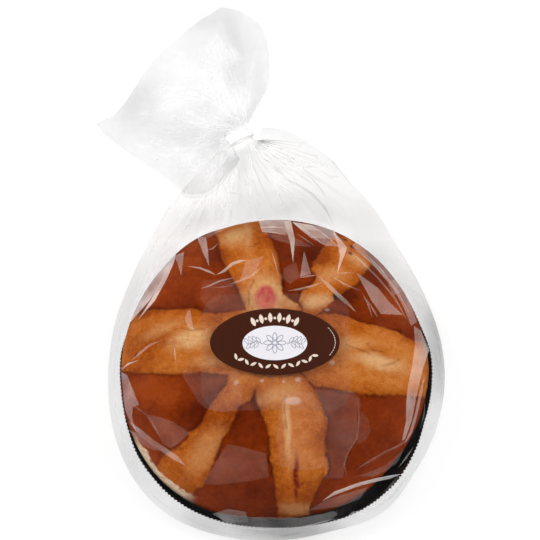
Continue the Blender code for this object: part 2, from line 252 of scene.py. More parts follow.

# Flat stretches of the film with painted reflections of the lights, with some of the film's own
# milkiness: corners by pixels of the photograph, and haze.
REFLECTION_PANES = (
    (((121, 372), (127, 375), (133, 390), (139, 405), (133, 407), (132, 418), (137, 434), (125, 410)), 0.24),
    (
        ((147, 415), (160, 417), (173, 422), (190, 433), (178, 444), (171, 448), (163, 444), (155, 429)),
        0.075,
    ),
    (
        (
            (181, 369), (184, 379), (192, 391), (198, 402), (207, 409), (222, 412), (234, 411),
            (243, 403), (238, 372),
        ),
        0.045,
    ),
    (((203, 281), (236, 277), (246, 300), (244, 309), (212, 312), (200, 300)), 0.03),
    (
        ((227, 444), (250, 449), (266, 454), (269, 477), (245, 482), (216, 485), (203, 483), (216, 462)),
        0.056,
    ),
    (((282, 392), (312, 392), (326, 412), (329, 440), (327, 467), (303, 471), (280, 466), (276, 440)), 0.05),
    (
        (
            (314, 390), (352, 391), (357, 402), (357, 436), (347, 451), (343, 478), (324, 479),
            (329, 440), (326, 412),
        ),
        0.055,
    ),
    (((361, 411), (368, 419), (371, 430), (366, 440), (357, 444), (358, 426)), 0.035),
    (
        (
            (414, 326), (415, 345), (412, 366), (408, 386), (406, 405), (406, 421), (402, 441), (405, 439),
            (412, 420), (416, 398), (422, 372), (429, 350), (421, 331),
        ),
        0.32,
    ),
    (
        (
            (129, 324), (150, 300), (160, 285), (170, 262), (178, 245), (168, 240), (158, 256), (147, 275),
            (137, 295), (129, 312),
        ),
        0.56,
    ),
    (
        (
            (216, 513), (250, 517), (300, 518), (322, 514), (334, 511), (338, 514), (328, 522), (310, 529),
            (260, 531), (226, 526),
        ),
        0.14,
    ),
    (((308, 511), (326, 500), (348, 493), (368, 487), (360, 499), (342, 506)), 0.09),
    (((197, 237), (206, 237), (208, 251), (209, 266), (203, 253)), 0.4),
    (((174, 256), (184, 252), (183, 262), (181, 276), (178, 264)), 0.25),
    (((246, 261), (264, 256), (254, 274), (240, 280)), 0.12),
    (((258, 219), (284, 220), (288, 235), (262, 232)), 0.35),
    (((284, 221), (291, 221), (295, 240), (293, 263), (290, 242)), 0.55),
    (((292, 222), (311, 225), (320, 231), (301, 230)), 0.6),
    (((301, 230), (320, 231), (331, 239), (311, 238)), 0.46),
    (((311, 238), (331, 239), (339, 247), (326, 246)), 0.24),
    (((311, 225), (333, 229), (340, 242), (331, 239), (320, 231)), 0.38),
    (((200, 235), (212, 229), (226, 225), (222, 231), (208, 238)), 0.12),
    (((128, 429), (140, 435), (150, 443), (160, 451), (150, 449), (138, 442)), 0.14),
    (((262, 233), (288, 236), (300, 240), (312, 247), (296, 246), (276, 240)), 0.08),
    (((333, 231), (341, 240), (347, 248), (343, 259), (337, 274), (340, 256), (338, 246)), 0.6),
    (((304, 251), (311, 274), (300, 277)), 0.26),
    (
        (
            (352, 246), (372, 263), (391, 286), (403, 306), (411, 326), (417, 322), (408, 298), (394, 275),
            (375, 254), (357, 240),
        ),
        0.2,
    ),
    (((284, 268), (296, 262), (300, 277), (290, 284), (282, 278)), 0.055),
    (((356, 272), (378, 288), (390, 303), (403, 315), (381, 314), (371, 300), (364, 287)), 0.23),
    (((388, 284), (396, 278), (402, 291), (393, 296)), 0.14),
    (((187, 312), (190, 310), (192, 321), (194, 331), (188, 328), (185, 320)), 0.26),
    (((212, 514), (228, 509), (246, 512), (248, 522), (230, 524)), 0.16),
    (((345, 520), (352, 512), (372, 508), (356, 518)), 0.3),
)

# Painted shade on the upper film and, in the second table, on the tail, which darkens what lies
# behind: centre by pixel, half sizes, turn in degrees and share.
SHADES = (
    ((262, 205), 0.056, 0.014, 0, 0.14),
    ((248, 186), 0.016, 0.016, 30, 0.07),
    ((300, 205), 0.02, 0.01, -20, 0.08),
    ((370, 245), 0.018, 0.012, -45, 0.09),
    ((435, 338), 0.0085, 0.026, 0, 0.33),
    ((441, 380), 0.007, 0.015, 0, 0.17),
    ((300, 533), 0.034, 0.006, 0, 0.36),
    ((262, 217), 0.068, 0.0085, 0, 0.11),
    ((192, 226), 0.02, 0.009, 30, 0.09),
    ((345, 205), 0.033, 0.02, -50, 0.06),
    ((374, 214), 0.016, 0.011, -50, 0.07),
    ((288, 136), 0.024, 0.006, -12, 0.07),
    ((268, 130), 0.011, 0.004, -10, 0.12),
    ((250, 152), 0.012, 0.005, 25, 0.06),
    ((330, 160), 0.015, 0.008, -45, 0.04),
    ((375, 240), 0.018, 0.009, -55, 0.05),
    ((202, 526), 0.014, 0.005, -25, 0.18),
    ((130, 465), 0.008, 0.018, 30, 0.07),
)
TAIL_SHADES = (
    ((142, 106), 0.012, 0.02, -35, 0.085),
    ((233, 62), 0.007, 0.03, 4, 0.09),
    ((254, 84), 0.01, 0.032, 10, 0.06),
    ((240, 124), 0.015, 0.01, 30, 0.15),
    ((222, 142), 0.008, 0.008, 0, 0.09),
    ((208, 20), 0.018, 0.009, 10, 0.06),
    ((178, 130), 0.028, 0.013, 0, 0.095),
    ((204, 148), 0.011, 0.011, 0, 0.05),
    ((200, 108), 0.012, 0.008, 0, 0.045),
    ((186, 176), 0.009, 0.014, 20, 0.04),
    ((190, 142), 0.012, 0.006, 0, 0.03),
)

# The loaf: half an ellipsoid over its widest line, whose reach from the origin goes by direction in
# degrees, and a shallower wall below it.
LOAF_REACH = (
    (-180, 0.1003), (-165, 0.1008), (-157, 0.1015), (-146, 0.102), (-137, 0.102), (-128, 0.1012),
    (-119, 0.1003), (-110, 0.0984), (-100, 0.0962), (-90, 0.0951), (-78, 0.0951), (-64, 0.0957),
    (-55, 0.0958), (-44, 0.095), (-35, 0.0953), (-20, 0.0962), (-10, 0.0967), (2, 0.0976), (18, 0.0968),
    (35, 0.0974), (55, 0.0992), (75, 0.1001), (100, 0.1003), (110, 0.1008), (118, 0.102), (127, 0.102),
    (136, 0.1008), (150, 0.1001),
)
LOAF_SPREAD = 0.098
LOAF_RISE = 0.0485
LOAF_WAIST = 0.0255
LOAF_BASE = 0.0015
LOAF_DRAFT = 0.035
LOAF_TURNS = 640
LOAF_RINGS_ABOVE = 126
LOAF_RINGS_BELOW = 6
LOAF_CLEARANCE = 0.0015

# The torn strips of the star, by pixels of the photograph: their corners.
STRIPS = (
    (
        (105, 330), (126, 327), (133, 319), (141, 314), (152, 310), (165, 310), (180, 309), (192, 308),
        (202, 311), (216, 313), (230, 311), (245, 309), (275, 345), (240, 377), (232, 376), (215, 374),
        (200, 372), (188, 374), (170, 374), (150, 373), (135, 373), (122, 371), (105, 370),
    ),
    (
        (262, 383), (275, 345), (228, 374), (226, 386), (218, 395), (210, 404), (206, 412), (203, 420),
        (197, 429), (189, 432), (186, 439), (178, 447), (167, 452), (160, 460), (156, 467), (140, 480),
        (170, 512), (184, 497), (192, 492), (202, 487), (208, 478), (212, 468), (215, 459), (218, 449),
        (223, 439), (229, 431), (233, 423), (236, 414), (242, 406), (249, 400), (254, 392),
    ),
    (
        (240, 377), (275, 345), (313, 386), (318, 395), (322, 403), (325, 412), (327, 422), (326, 440),
        (325, 455), (328, 468), (325, 475), (321, 483), (317, 490), (313, 500), (310, 508), (312, 535),
        (276, 535), (277, 510), (275, 490), (274, 480), (273, 468), (271, 460), (270, 450), (269, 440),
        (267, 430), (264, 420), (260, 410), (256, 400), (255, 390),
    ),
    (
        (275, 345), (322, 312), (335, 313), (347, 316), (357, 321), (368, 324), (381, 326), (391, 330),
        (402, 334), (413, 340), (440, 347), (440, 398), (412, 396), (400, 395), (380, 395), (360, 394),
        (345, 391), (330, 388), (313, 386),
    ),
    (
        (275, 345), (303, 309), (299, 300), (302, 291), (312, 285), (317, 277), (311, 271), (312, 262),
        (317, 254), (323, 247), (330, 240), (334, 222), (370, 235), (366, 254), (372, 264), (368, 270),
        (361, 277), (357, 284), (349, 289), (342, 293), (337, 299), (330, 305), (322, 312),
    ),
    (
        (275, 345), (245, 309), (242, 300), (239, 290), (233, 279), (227, 269), (222, 260), (219, 250),
        (219, 240), (214, 232), (210, 210), (262, 205), (266, 232), (272, 240), (277, 252), (279, 262),
        (280, 278), (283, 290), (290, 298), (303, 309),
    ),
)
STRIP_EDGE = (-0.0005, 0.0007)
STRIP_BULGE = 0.0015
STRIP_SHOULDER = 0.004
STRIP_RAGGED = 0.0016
# The grooves beside the strips: their depth, width and how far outside the strips they lie. They also get
# painted shade.
GROOVE_DEPTH = 0.0013
GROOVE_WIDTH = 0.0009
GROOVE_OUTSIDE = 0.0004

# The loaf's surface: sizes of its noise and of the strips' grain, and how high each stands.
COARSE_SIZE = 0.03
MEDIUM_SIZE = 0.009
FINE_SIZE = 0.0026
GRAIN_WIDTH = 0.0024
GRAIN_LENGTH = 0.008
WEDGE_PILLOW = 0.001
WEDGE_SHOULDER = 0.008
LUMPS = 0.001
BUMPS = 0.00035
PIMPLES = 0.00007
GRAIN = 0.00014
RIM_FADE = (0.82, 0.98)

# How far from a strip's edge the crust darkens, a painted shade beside the raised strips, and the
# dough turns golden, and how far noise moves the edges of the patches below.
CRUST_SHADE_REACH = 0.018
DOUGH_SHADE_REACH = 0.008
PATCH_RAGGED = 0.0014

# Pale patches of the torn dough: centre by pixel, half sizes, turn in degrees and strength.
CREAM_PATCHES = (
    ((191, 339), 0.012, 0.0062, 8, 1.0),
    ((163, 330), 0.014, 0.004, 18, 0.35),
    ((378, 362), 0.016, 0.0048, -8, 1.0),
    ((352, 344), 0.012, 0.0045, 8, 0.45),
    ((287, 427), 0.02, 0.0022, 92, 0.85),
    ((276, 395), 0.015, 0.005, 20, 0.45),
    ((296, 509), 0.013, 0.003, 0, 0.45),
    ((235, 238), 0.009, 0.0066, 20, 0.75),
    ((247, 236), 0.0035, 0.011, 5, 0.55),
    ((266, 297), 0.013, 0.014, 0, 1.0),
    ((292, 299), 0.008, 0.007, 0, 0.55),
    ((316, 302), 0.01, 0.0045, 15, 0.9),
    ((357, 261), 0.0085, 0.0045, -38, 0.6),
    ((330, 276), 0.01, 0.005, 10, 0.4),
    ((206, 450), 0.015, 0.008, 52, 0.35),
    ((208, 362), 0.012, 0.004, 0, 0.4),
)

# The praline that shows, the red streak and the hole: centre by pixel and half sizes. The hole is
# painted near black, a painted shade. The red specks: centre by pixel and half size.
PRALINE = ((266, 299), 0.008, 0.01)
PRALINE_BULGE = 0.0022
STREAK = ((296, 477), 0.0017, 0.0125)
STREAK_DEPTH = 0.0008
STREAK_RAGGED = 0.0008
HOLE = ((336, 296), 0.0018, 0.0024)
HOLE_DEPTH = 0.003
RED_SPECKS = (
    ((350, 254), 0.0016),
    ((352, 247), 0.0018),
    ((345, 240), 0.0014),
    ((302, 483), 0.0007),
    ((137, 356), 0.0013),
)

# Where the crust and the torn dough are paler, or with a shift below 0 deeper, partly their own
# uneven colour and partly painted shade where the strips fold and overlap: centre by pixel, half
# sizes, turn in degrees and shift.
TONES = (
    ((195, 416), 0.014, 0.01, 30, -0.35),
    ((350, 500), 0.016, 0.004, 25, 0.35),
    ((270, 510), 0.03, 0.003, 0, -0.15),
    ((239, 430), 0.007, 0.011, -20, -0.05),
    ((175, 432), 0.011, 0.009, 0, 0.25),
    ((240, 490), 0.015, 0.007, 0, -0.25),
    ((355, 455), 0.011, 0.011, 0, -0.25),
    ((215, 298), 0.01, 0.007, 0, 0.35),
    ((300, 256), 0.015, 0.01, 0, -0.3),
    ((314, 251), 0.008, 0.008, 0, -0.25),
    ((324, 256), 0.006, 0.006, 0, -0.35),
    ((216, 257), 0.008, 0.008, 0, -0.4),
    ((346, 296), 0.008, 0.006, 0, -0.45),
    ((376, 275), 0.011, 0.008, 0, -0.3),
    ((257, 495), 0.008, 0.006, 0, -0.25),
    ((380, 338), 0.017, 0.008, -10, 0.24),
    ((390, 384), 0.015, 0.005, 0, 0.22),
    ((232, 380), 0.012, 0.007, 0, 0.25),
    ((158, 342), 0.018, 0.012, 0, -0.38),
    ((215, 418), 0.008, 0.006, 50, -0.15),
    ((335, 430), 0.012, 0.016, 0, -0.15),
    ((334, 234), 0.008, 0.005, 0, -0.6),
    ((160, 390), 0.02, 0.011, 0, 0.3),
    ((198, 243), 0.011, 0.008, 0, 0.3),
    ((165, 285), 0.016, 0.012, 40, 0.15),
    ((384, 442), 0.012, 0.01, 0, -0.25),
    ((194, 262), 0.011, 0.0055, 0, 0.42),
    ((150, 314), 0.007, 0.0035, 0, -0.4),
    ((150, 448), 0.01, 0.006, -45, 0.28),
    ((259, 402), 0.0045, 0.006, 0, -0.3),
    ((143, 382), 0.008, 0.008, 0, 0.22),
    ((355, 372), 0.012, 0.006, 0, 0.15),
    ((406, 350), 0.008, 0.008, 0, 0.15),
    ((160, 340), 0.01, 0.007, 0, -0.1),
    ((360, 331), 0.008, 0.0045, -15, -0.25),
    ((390, 306), 0.012, 0.007, -30, 0.2),
    ((225, 417), 0.011, 0.0065, 50, -0.4),
    ((175, 473), 0.016, 0.008, -45, -0.3),
    ((297, 495), 0.018, 0.013, 0, -0.2),
    ((405, 380), 0.013, 0.012, 0, -0.08),
    ((262, 240), 0.006, 0.013, 0, -0.2),
    ((140, 348), 0.009, 0.016, 0, -0.15),
    ((225, 345), 0.011, 0.02, 0, -0.15),
    ((320, 345), 0.011, 0.02, 0, -0.15),
)

# Creases of the crust, darkened with painted shade, by pixels of the photograph: points and half width.
CRACKS = (
    (((158, 399), (154, 405), (149, 413)), 0.0007),
    (((322, 478), (333, 479), (347, 480)), 0.0006),
    (((166, 452), (173, 450), (182, 449)), 0.0007),
    (((269, 438), (270, 448), (271, 458)), 0.0006),
    (((228, 432), (233, 423), (237, 414)), 0.0006),
    (((222, 425), (228, 422), (232, 415)), 0.0005),
    (((140, 308), (165, 309), (190, 307)), 0.0005),
    (((180, 329), (192, 331), (205, 329)), 0.0004),
    (((218, 303), (222, 299), (224, 295)), 0.0006),
    (((248, 486), (250, 480), (252, 477)), 0.0005),
    (((254, 281), (249, 291), (249, 304)), 0.0006),
    (((283, 283), (289, 296), (298, 306)), 0.0006),
    (((243, 250), (252, 247), (262, 243)), 0.0004),
    (((345, 345), (356, 349), (366, 352), (372, 357)), 0.0005),
    (((380, 367), (391, 364), (398, 360)), 0.0005),
    (((366, 343), (372, 350), (382, 352)), 0.0004),
    (((285, 395), (284, 410), (287, 428)), 0.0005),
    (((322, 405), (326, 422), (325, 445), (327, 466)), 0.0005),
)
CRACK_DEPTH = 0.0005
CRACK_RAGGED = 0.0004
CRACK_SHADE = 0.65

# The pale lower edge of the loaf: its middle direction and half span in degrees, and its start and end
# as shares of the loaf's radius.
PALE_EDGE_TURN = -138
PALE_EDGE_SPAN = 18
PALE_EDGE = (0.966, 0.981)
PALE_EDGE_RAGGED = 0.014

# The fluted paper case: direction in degrees, and radius of its lower and its upper end. It is lower
# on its far side, between two heights on the sine of the direction.
CASE_REACH = (
    (-172, 0.099, 0.1008), (-165, 0.0992, 0.1014), (-157, 0.0998, 0.1025), (-148, 0.1004, 0.1044),
    (-140, 0.1006, 0.105), (-131, 0.1006, 0.1055), (-123, 0.1004, 0.1053), (-116, 0.1, 0.1046),
    (-109, 0.0994, 0.1034), (-100, 0.098, 0.102), (-90, 0.0976, 0.101), (-78, 0.098, 0.1016),
    (-66, 0.0994, 0.1038), (-55, 0.0998, 0.1048), (-44, 0.0996, 0.1046), (-33, 0.099, 0.1024),
    (-20, 0.0984, 0.0997), (0, 0.0984, 0.0996), (30, 0.098, 0.099), (60, 0.0986, 0.1002),
    (90, 0.0992, 0.101), (150, 0.0992, 0.101), (172, 0.099, 0.1008),
)
CASE_HEIGHT = 0.029
CASE_ROWS = 12
CASE_FLUTES = 262
CASE_FLUTE_STEPS = 6
CASE_FLUTE_DEPTH = 0.0004
CASE_FLUTE_RANGE = (0.6, 1.25)
CASE_LEAN = 0.5
CASE_SWAY = 0.0003
CASE_RAGGED = 0.0012
CASE_CLEARANCE = 0.001
CASE_FOOT = 0.0008
CASE_FAR_HEIGHT = 0.015
CASE_FAR = (0.05, 0.36)
CASE_SEED = 8

# The label's print: its white oval, and seeds, dots, leaves and ticks in rows on ovals that are shares
# of the label's. Each row has a count, the oval's two shares, its first direction and step in degrees,
# half sizes, corners, leans in radians and how blunt the tips are. Without leans nothing is turned.
OVAL_HALF_LENGTH = 0.02
OVAL_HALF_WIDTH = 0.011
OVAL_SHIFT = -0.0012
LABEL_STEPS = 120
OVAL_STEPS = 90
PRINT_THICKNESS = 0.00003
ORNAMENT = (
    (6, (0.58, 0.72), (125, -14), (0.0032, 0.0014), 14, (math.pi / 2,), 0.6),
    (5, (0.58, 0.7), (118, -14), (0.0009, 0.0009), 10, (), 1.0),
    (13, (0.74, 0.76), (216, 9.2), (0.0021, 0.0009), 12, (-0.7, 0.7), 0.6),
    (12, (0.93, 0.93), (-24, 4.6), (0.0007, 0.00022), 8, (0.0,), 1.0),
)

# The line drawing in the white oval: a flower, and a sprig on each side of it.
INK_WIDTH = 0.00042
PETALS = 8
PETAL_REACH = (0.0044, 0.004)
PETAL_SIZE = (0.0026, 0.0013)
PETAL_TIP = 0.7
FLOWER_EYE = (0.0014, 0.0013)
FLOWER_STEPS = 14
SPRIG_SPAN = (0.0074, 0.0172)
SPRIG_BEND = 0.0016
SPRIG_CURVE = 3.5
SPRIG_DROP = 0.0008
SPRIG_PARTS = 8
LEAF_REACH = 0.0026
LEAF_SIZE = (0.0021, 0.0009)
LEAF_LEAN = 0.9
LEAF_STEPS = 12
LEAF_TIP = 0.6
LEAF_INK = 0.8

# Colours of the dough, from deep to pale, and of what shows on it by the names of its masks. The
# pores, the grooves and creases, and the hole have colours of painted shade.
CRUST_COLOURS = (
    (0.0, (0.098, 0.0095, 0.0003)),
    (0.35, (0.165, 0.019, 0.0006)),
    (0.7, (0.24, 0.0315, 0.0012)),
    (1.0, (0.32, 0.05, 0.0035)),
)
DOUGH_COLOURS = (
    (0.0, (0.28, 0.048, 0.0025)),
    (0.35, (0.435, 0.103, 0.0075)),
    (0.68, (0.545, 0.17, 0.027)),
    (1.0, (0.625, 0.248, 0.068)),
)
CREAM_COLOUR = (0.7, 0.39, 0.165)
PORE_SHADE_COLOUR = (0.22, 0.04, 0.006)
GROOVE_SHADE_COLOUR = (0.085, 0.011, 0.0012)
SUGAR_COLOURS = ((0.38, (0.48, 0.052, 0.06)), (0.64, (0.64, 0.14, 0.1)))
MARK_COLOURS = (
    ("red", (0.17, 0.012, 0.007)),
    ("side", (0.6, 0.34, 0.14)),
    ("pale", (0.78, 0.61, 0.43)),
    ("hole", (0.006, 0.003, 0.002)),
)

# Colours of the case, of the painted highlight on its crests, of the floor and of the print.
CASE_COLOURS = ((0.3, (0.036, 0.036, 0.04)), (0.7, (0.14, 0.137, 0.142)))
CREST_HIGHLIGHT_COLOUR = (0.24, 0.24, 0.246)
FLOOR_COLOURS = ((0.3, (0.61, 0.61, 0.61)), (0.7, (0.63, 0.63, 0.63)))
LABEL_BROWN = (0.052, 0.012, 0.0055)
LABEL_WHITE = (0.8, 0.78, 0.82)
LABEL_CREAM = (0.78, 0.66, 0.56)
LABEL_INK = (0.28, 0.29, 0.36)
BAND_WHITE = (0.95, 0.95, 0.95)

# The films: darkest and clearest tint, most gloss, haze all over, height of the waves and roughness.
CLEAR_FILM = ((0.98, 0.99), 0.22, 0.0008, 0.001, 0.06)
WALL_FILM = ((0.94, 0.975), 0.06, 0.018, 0.001, 0.06)
FAN_FILM = ((0.895, 0.945), 0.05, 0.01, 0.001, 0.06)
SHEET_FILM = ((0.97, 0.98), 0.1, 0.03, 0.0004, 0.1)
FILM_LAYERS_SEEN = 24

# The colour of the films' haze and of its painted highlights, which the crust warms over the loaf,
# fading out between two reaches.
COOL_HAZE = (0.94, 0.94, 0.95)
WARM_HAZE = (1.0, 0.9, 0.81)
WARM_HAZE_REACH = (0.088, 0.097)

# The studio: pale walls up to a height, as the upright part of a direction, and a dark ceiling. What
# the film mirrors is dimmer.
WALL_TOP = (0.35, 0.62)
WALL_RADIANCE = 0.8
CEILING_RADIANCE = 0.03
MIRRORED = 0.07
FLOOR_GLOW = 0.86
FLOOR_LEVEL = -0.0004
FLOOR_SIZE = 6.0

# The soft lights: name, place, width, height and power. All aim at one place.
LIGHT_AIM = (0, 0.03, 0.03)
LIGHTS = (
    ("softbox_left", (-0.95, 0.3, 0.95), 0.6, 0.6, 10.0),
    ("softbox_right", (0.95, 0.2, 0.95), 0.6, 0.6, 9.2),
    ("panel_top", (0.0, 0.55, 1.55), 0.75, 0.55, 3.2),
    ("panel_front", (0.0, -1.3, 0.9), 1.2, 0.35, 3.4),
)


def lerp(a, b, share):
    return a + (b - a) * share


def ease(low, high, value):
    """0 below low, 1 above high and smooth between them, for one number or many."""
    share = np.clip((value - low) / (high - low), 0, 1)
    return share * share * (3 - 2 * share)


def cubic(before, start, end, after, share):
    """A smooth curve from start to end, with its slopes taken from the values on both sides."""
    slope_in = 0.5 * (end - before)
    slope_out = 0.5 * (after - start)
    square = share * share
    cube = square * share
    rise = 3 * square - 2 * cube
    bend_in = cube - 2 * square + share
    bend_out = cube - square
    return lerp(start, end, rise) + slope_in * bend_in + slope_out * bend_out


def reach_at(table, turn):
    """A table's reach in the direction turn, in radians, on a smooth curve through its rows."""
    count = len(table)
    first = table[0][0]
    degrees = (math.degrees(turn) - first) % 360 + first
    index = max(i for i in range(count) if table[i][0] <= degrees)
    start = table[index][0]
    end = table[index + 1][0] if index + 1 < count else first + 360
    share = (degrees - start) / (end - start)
    reaches = [table[(index + k) % count][1] for k in (-1, 0, 1, 2)]
    return cubic(*reaches, share)


def straight_reach(table, degrees, column=1, period=None):
    """A table's reach in the direction degrees, straight from row to row."""
    directions = [row[0] for row in table]
    reaches = [row[column] for row in table]
    return float(np.interp(degrees, directions, reaches, period=period))


# ---- The film's form ----


def bag_reach(turn):
    return reach_at(BAG_REACH, turn)


def rim_height(reach):
    """Height of the bag's widest line, which climbs to the neck where the outline reaches far."""
    climb = (reach - DOME_RADIUS) / (NECK.y - DOME_RADIUS)
    climb = min(max(climb - RIM_CLIMB_START, 0.0), 1.0)
    return lerp(RIM_HEIGHT, NECK.z - RIM_UNDER_NECK, climb)


def film_height(x, y):
    """Height of the taut film: on the dome, then straight from it to the bag's widest line."""
    radius = math.hypot(x, y)
    reach = bag_reach(math.atan2(y, x))
    rim = rim_height(reach)
    rise = DOME_TOP - DOME_FOOT
    across = reach / DOME_RADIUS
    up = (rim - DOME_FOOT) / rise
    tangent = math.atan2(up, across) + math.acos(1 / math.hypot(across, up))
    leave = DOME_RADIUS * math.cos(tangent)
    if radius <= leave:
        return DOME_FOOT + rise * math.sqrt(1 - (radius / DOME_RADIUS) ** 2)
    start = DOME_FOOT + rise * math.sin(tangent)
    return lerp(start, rim, min((radius - leave) / (reach - leave), 1.0))


def on_film(place, lift=0.0):
    """The point of the taut film over a place, raised by lift."""
    return Vector((place[0], place[1], film_height(place[0], place[1]) + lift))


def neck_ring(offset, swell, pleat, steps):
    """An oval of points round the neck. The first is at its right end, and they go over the top."""
    along = Vector((math.cos(NECK_TURN), math.sin(NECK_TURN), NECK_LIFT)).normalized()
    across = Vector((math.sin(NECK_TURN), -math.cos(NECK_TURN), 0))
    upright = across.cross(along)
    centre = NECK + along * offset
    ring = []
    for step in range(steps):
        turn = math.tau * step / steps
        depth = swell * (1 + pleat * (-1) ** step)
        side = across * (math.cos(turn) * WAIST_HALF_WIDTH * swell)
        rise = upright * (math.sin(turn) * WAIST_HALF_HEIGHT * depth)
        ring.append(centre + side + rise)
    return ring


def room_ahead(x, y):
    """How far inside the bag's outline a place is, along the line from the origin."""
    return bag_reach(math.atan2(y, x)) - math.hypot(x, y)


def rim_points():
    """The bag's widest line, from the right of the throat round the front to its left."""
    start = math.radians(RIM_START)
    end = math.radians(RIM_END - 360)
    points = []
    for step in range(RIM_STEPS + 1):
        turn = lerp(start, end, step / RIM_STEPS)
        reach = bag_reach(turn)
        points.append(Vector((reach * math.cos(turn), reach * math.sin(turn), rim_height(reach))))
    return points


def pleat_points(throat):
    """Rows of points from the throat over the shoulders, alternately high and low."""
    rows = []
    count = len(throat)
    for index in range(1, count - 1):
        turn = lerp(*PLEAT_SPAN, index / (count - 1))
        start = throat[index]
        row = []
        for reach in PLEAT_REACHES:
            x = start.x + reach * math.cos(turn)
            y = start.y + reach * math.sin(turn)
            if room_ahead(x, y) < PLEAT_MARGIN:
                break
            fade = 1 - reach / (PLEAT_FADE * PLEAT_REACHES[-1])
            height = PLEAT_HEIGHT * fade * (-1) ** index
            level = lerp(start.z, film_height(x, y), min(reach / PLEAT_REACHES[1], 1))
            row.append(Vector((x, y, level + height)))
        rows.append(row)
    return rows


def rounded_box(half_length, half_width, corner, spacing):
    """A rectangle with round corners, with a point at about every spacing."""
    points = []
    steps = max(2, round(corner * math.pi / 2 / spacing))
    for index in range(4):
        side_x = 1 if index in (0, 3) else -1
        side_y = 1 if index < 2 else -1
        for step in range(steps + 1):
            turn = math.radians(90 * (index + step / steps))
            x = side_x * (half_length - corner) + corner * math.cos(turn)
            y = side_y * (half_width - corner) + corner * math.sin(turn)
            points.append(Vector((x, y)))
    loop = []
    for first, second in zip(points, points[1:] + points[:1]):
        parts = max(1, round((second - first).length / spacing))
        loop += [first.lerp(second, part / parts) for part in range(parts)]
    return loop


def near_sheet(x, y):
    """Whether a place is under the label's clear sheet or right beside it."""
    beside = FACET_SPACING * FACET_OFF_SHEET
    along = abs(x - SHEET_CENTRE.x) < SHEET_HALF_LENGTH + beside
    across = abs(y - SHEET_CENTRE.y) < SHEET_HALF_WIDTH + beside
    return along and across


def facet_points(taken):
    """Points spread over the dome, shifted and lifted by a seeded rule, clear of those taken."""
    draw = random.Random(FACET_SEED)
    points = []
    rows = math.ceil(NECK.y / FACET_SPACING)
    for row in range(-rows, rows + 1):
        for column in range(-rows, rows + 1):
            x = (column + 0.5 * (row % 2) + draw.uniform(-1, 1) * FACET_JITTER) * FACET_SPACING
            y = (row * math.sqrt(0.75) + draw.uniform(-1, 1) * FACET_JITTER) * FACET_SPACING
            lift = 0.0 if near_sheet(x, y) else FACET_SWELL * draw.uniform(*FACET_LIFTS)
            inside = room_ahead(x, y) > FACET_SPACING * FACET_OFF_OUTLINE
            apart = FACET_SPACING * FACET_OFF_OTHERS
            if inside and all(math.dist((x, y), other.xy) > apart for other in taken):
                points.append(on_film((x, y), lift))
    return points


def view_axes():
    """The camera's line of sight and its upward direction."""
    forward = Vector((0, math.cos(VIEW_ELEVATION), -math.sin(VIEW_ELEVATION)))
    up = Vector((0, math.sin(VIEW_ELEVATION), math.cos(VIEW_ELEVATION)))
    return forward, up


def seen_at(pixel, height):
    """The place, from above, where a surface of this height shows at this pixel of the photograph."""
    forward, up = view_axes()
    scale = 2 * VIEW_HALF_WIDTH / VIEW_DISTANCE / PICTURE_SIZE
    across = (pixel[0] - PICTURE_SIZE / 2) * scale
    rise = (PICTURE_SIZE / 2 - pixel[1]) * scale
    ray = forward + Vector((across, 0, 0)) + up * rise
    eye = VIEW_TARGET - forward * VIEW_DISTANCE
    above = (DOME_TOP + SIGHT_START - eye.z) / ray.z
    below = -eye.z / ray.z
    for step in range(1, SIGHT_STEPS + 1):
        low = lerp(above, below, step / SIGHT_STEPS)
        place = eye + ray * low
        if place.z < height(place.x, place.y):
            break
    high = low - (below - above) / SIGHT_STEPS
    for _ in range(SIGHT_HALVINGS):
        middle = 0.5 * (low + high)
        place = eye + ray * middle
        if place.z < height(place.x, place.y):
            low = middle
        else:
            high = middle
    return place.xy


def seen_on_film(pixels):
    return [seen_at(pixel, film_height) for pixel in pixels]


def blob(x, y, centre, half_x, half_y, turn=0.0):
    """1 at the centre of an oval patch, falling smoothly to 0 round it."""
    angle = math.radians(turn)
    away_x = x - centre[0]
    away_y = y - centre[1]
    along = (away_x * math.cos(angle) + away_y * math.sin(angle)) / half_x
    across = (away_y * math.cos(angle) - away_x * math.sin(angle)) / half_y
    return np.exp(-((along**2 + across**2) ** 1.5))


def shade_vertices(vertices, layer, table, height):
    """Sets how much painted shade the patches of a table put on these vertices of a film."""
    patches = [(seen_at(pixel, height), *sizes) for pixel, *sizes in table]
    for vertex in vertices:
        place = vertex.co
        vertex[layer] = sum(share * float(blob(place.x, place.y, *patch)) for *patch, share in patches)


def fold_rows(points, width):
    """A fold seen from above: its left side, its ridge and its right side, which meet at the ends."""
    left = []
    right = []
    for before, point, after in zip(points, points[1:], points[2:]):
        along = (after - before).normalized()
        across = Vector((-along.y, along.x)) * width / 2
        left.append(point + across)
        right.append(point - across)
    return [points[0], *left, points[-1]], points, [points[0], *right, points[-1]]


def contains(polygon, x, y):
    inside = False
    for first, second in zip(polygon, polygon[1:] + polygon[:1]):
        if (first.y > y) != (second.y > y):
            cross = lerp(first.x, second.x, (y - first.y) / (second.y - first.y))
            inside ^= x < cross
    return inside


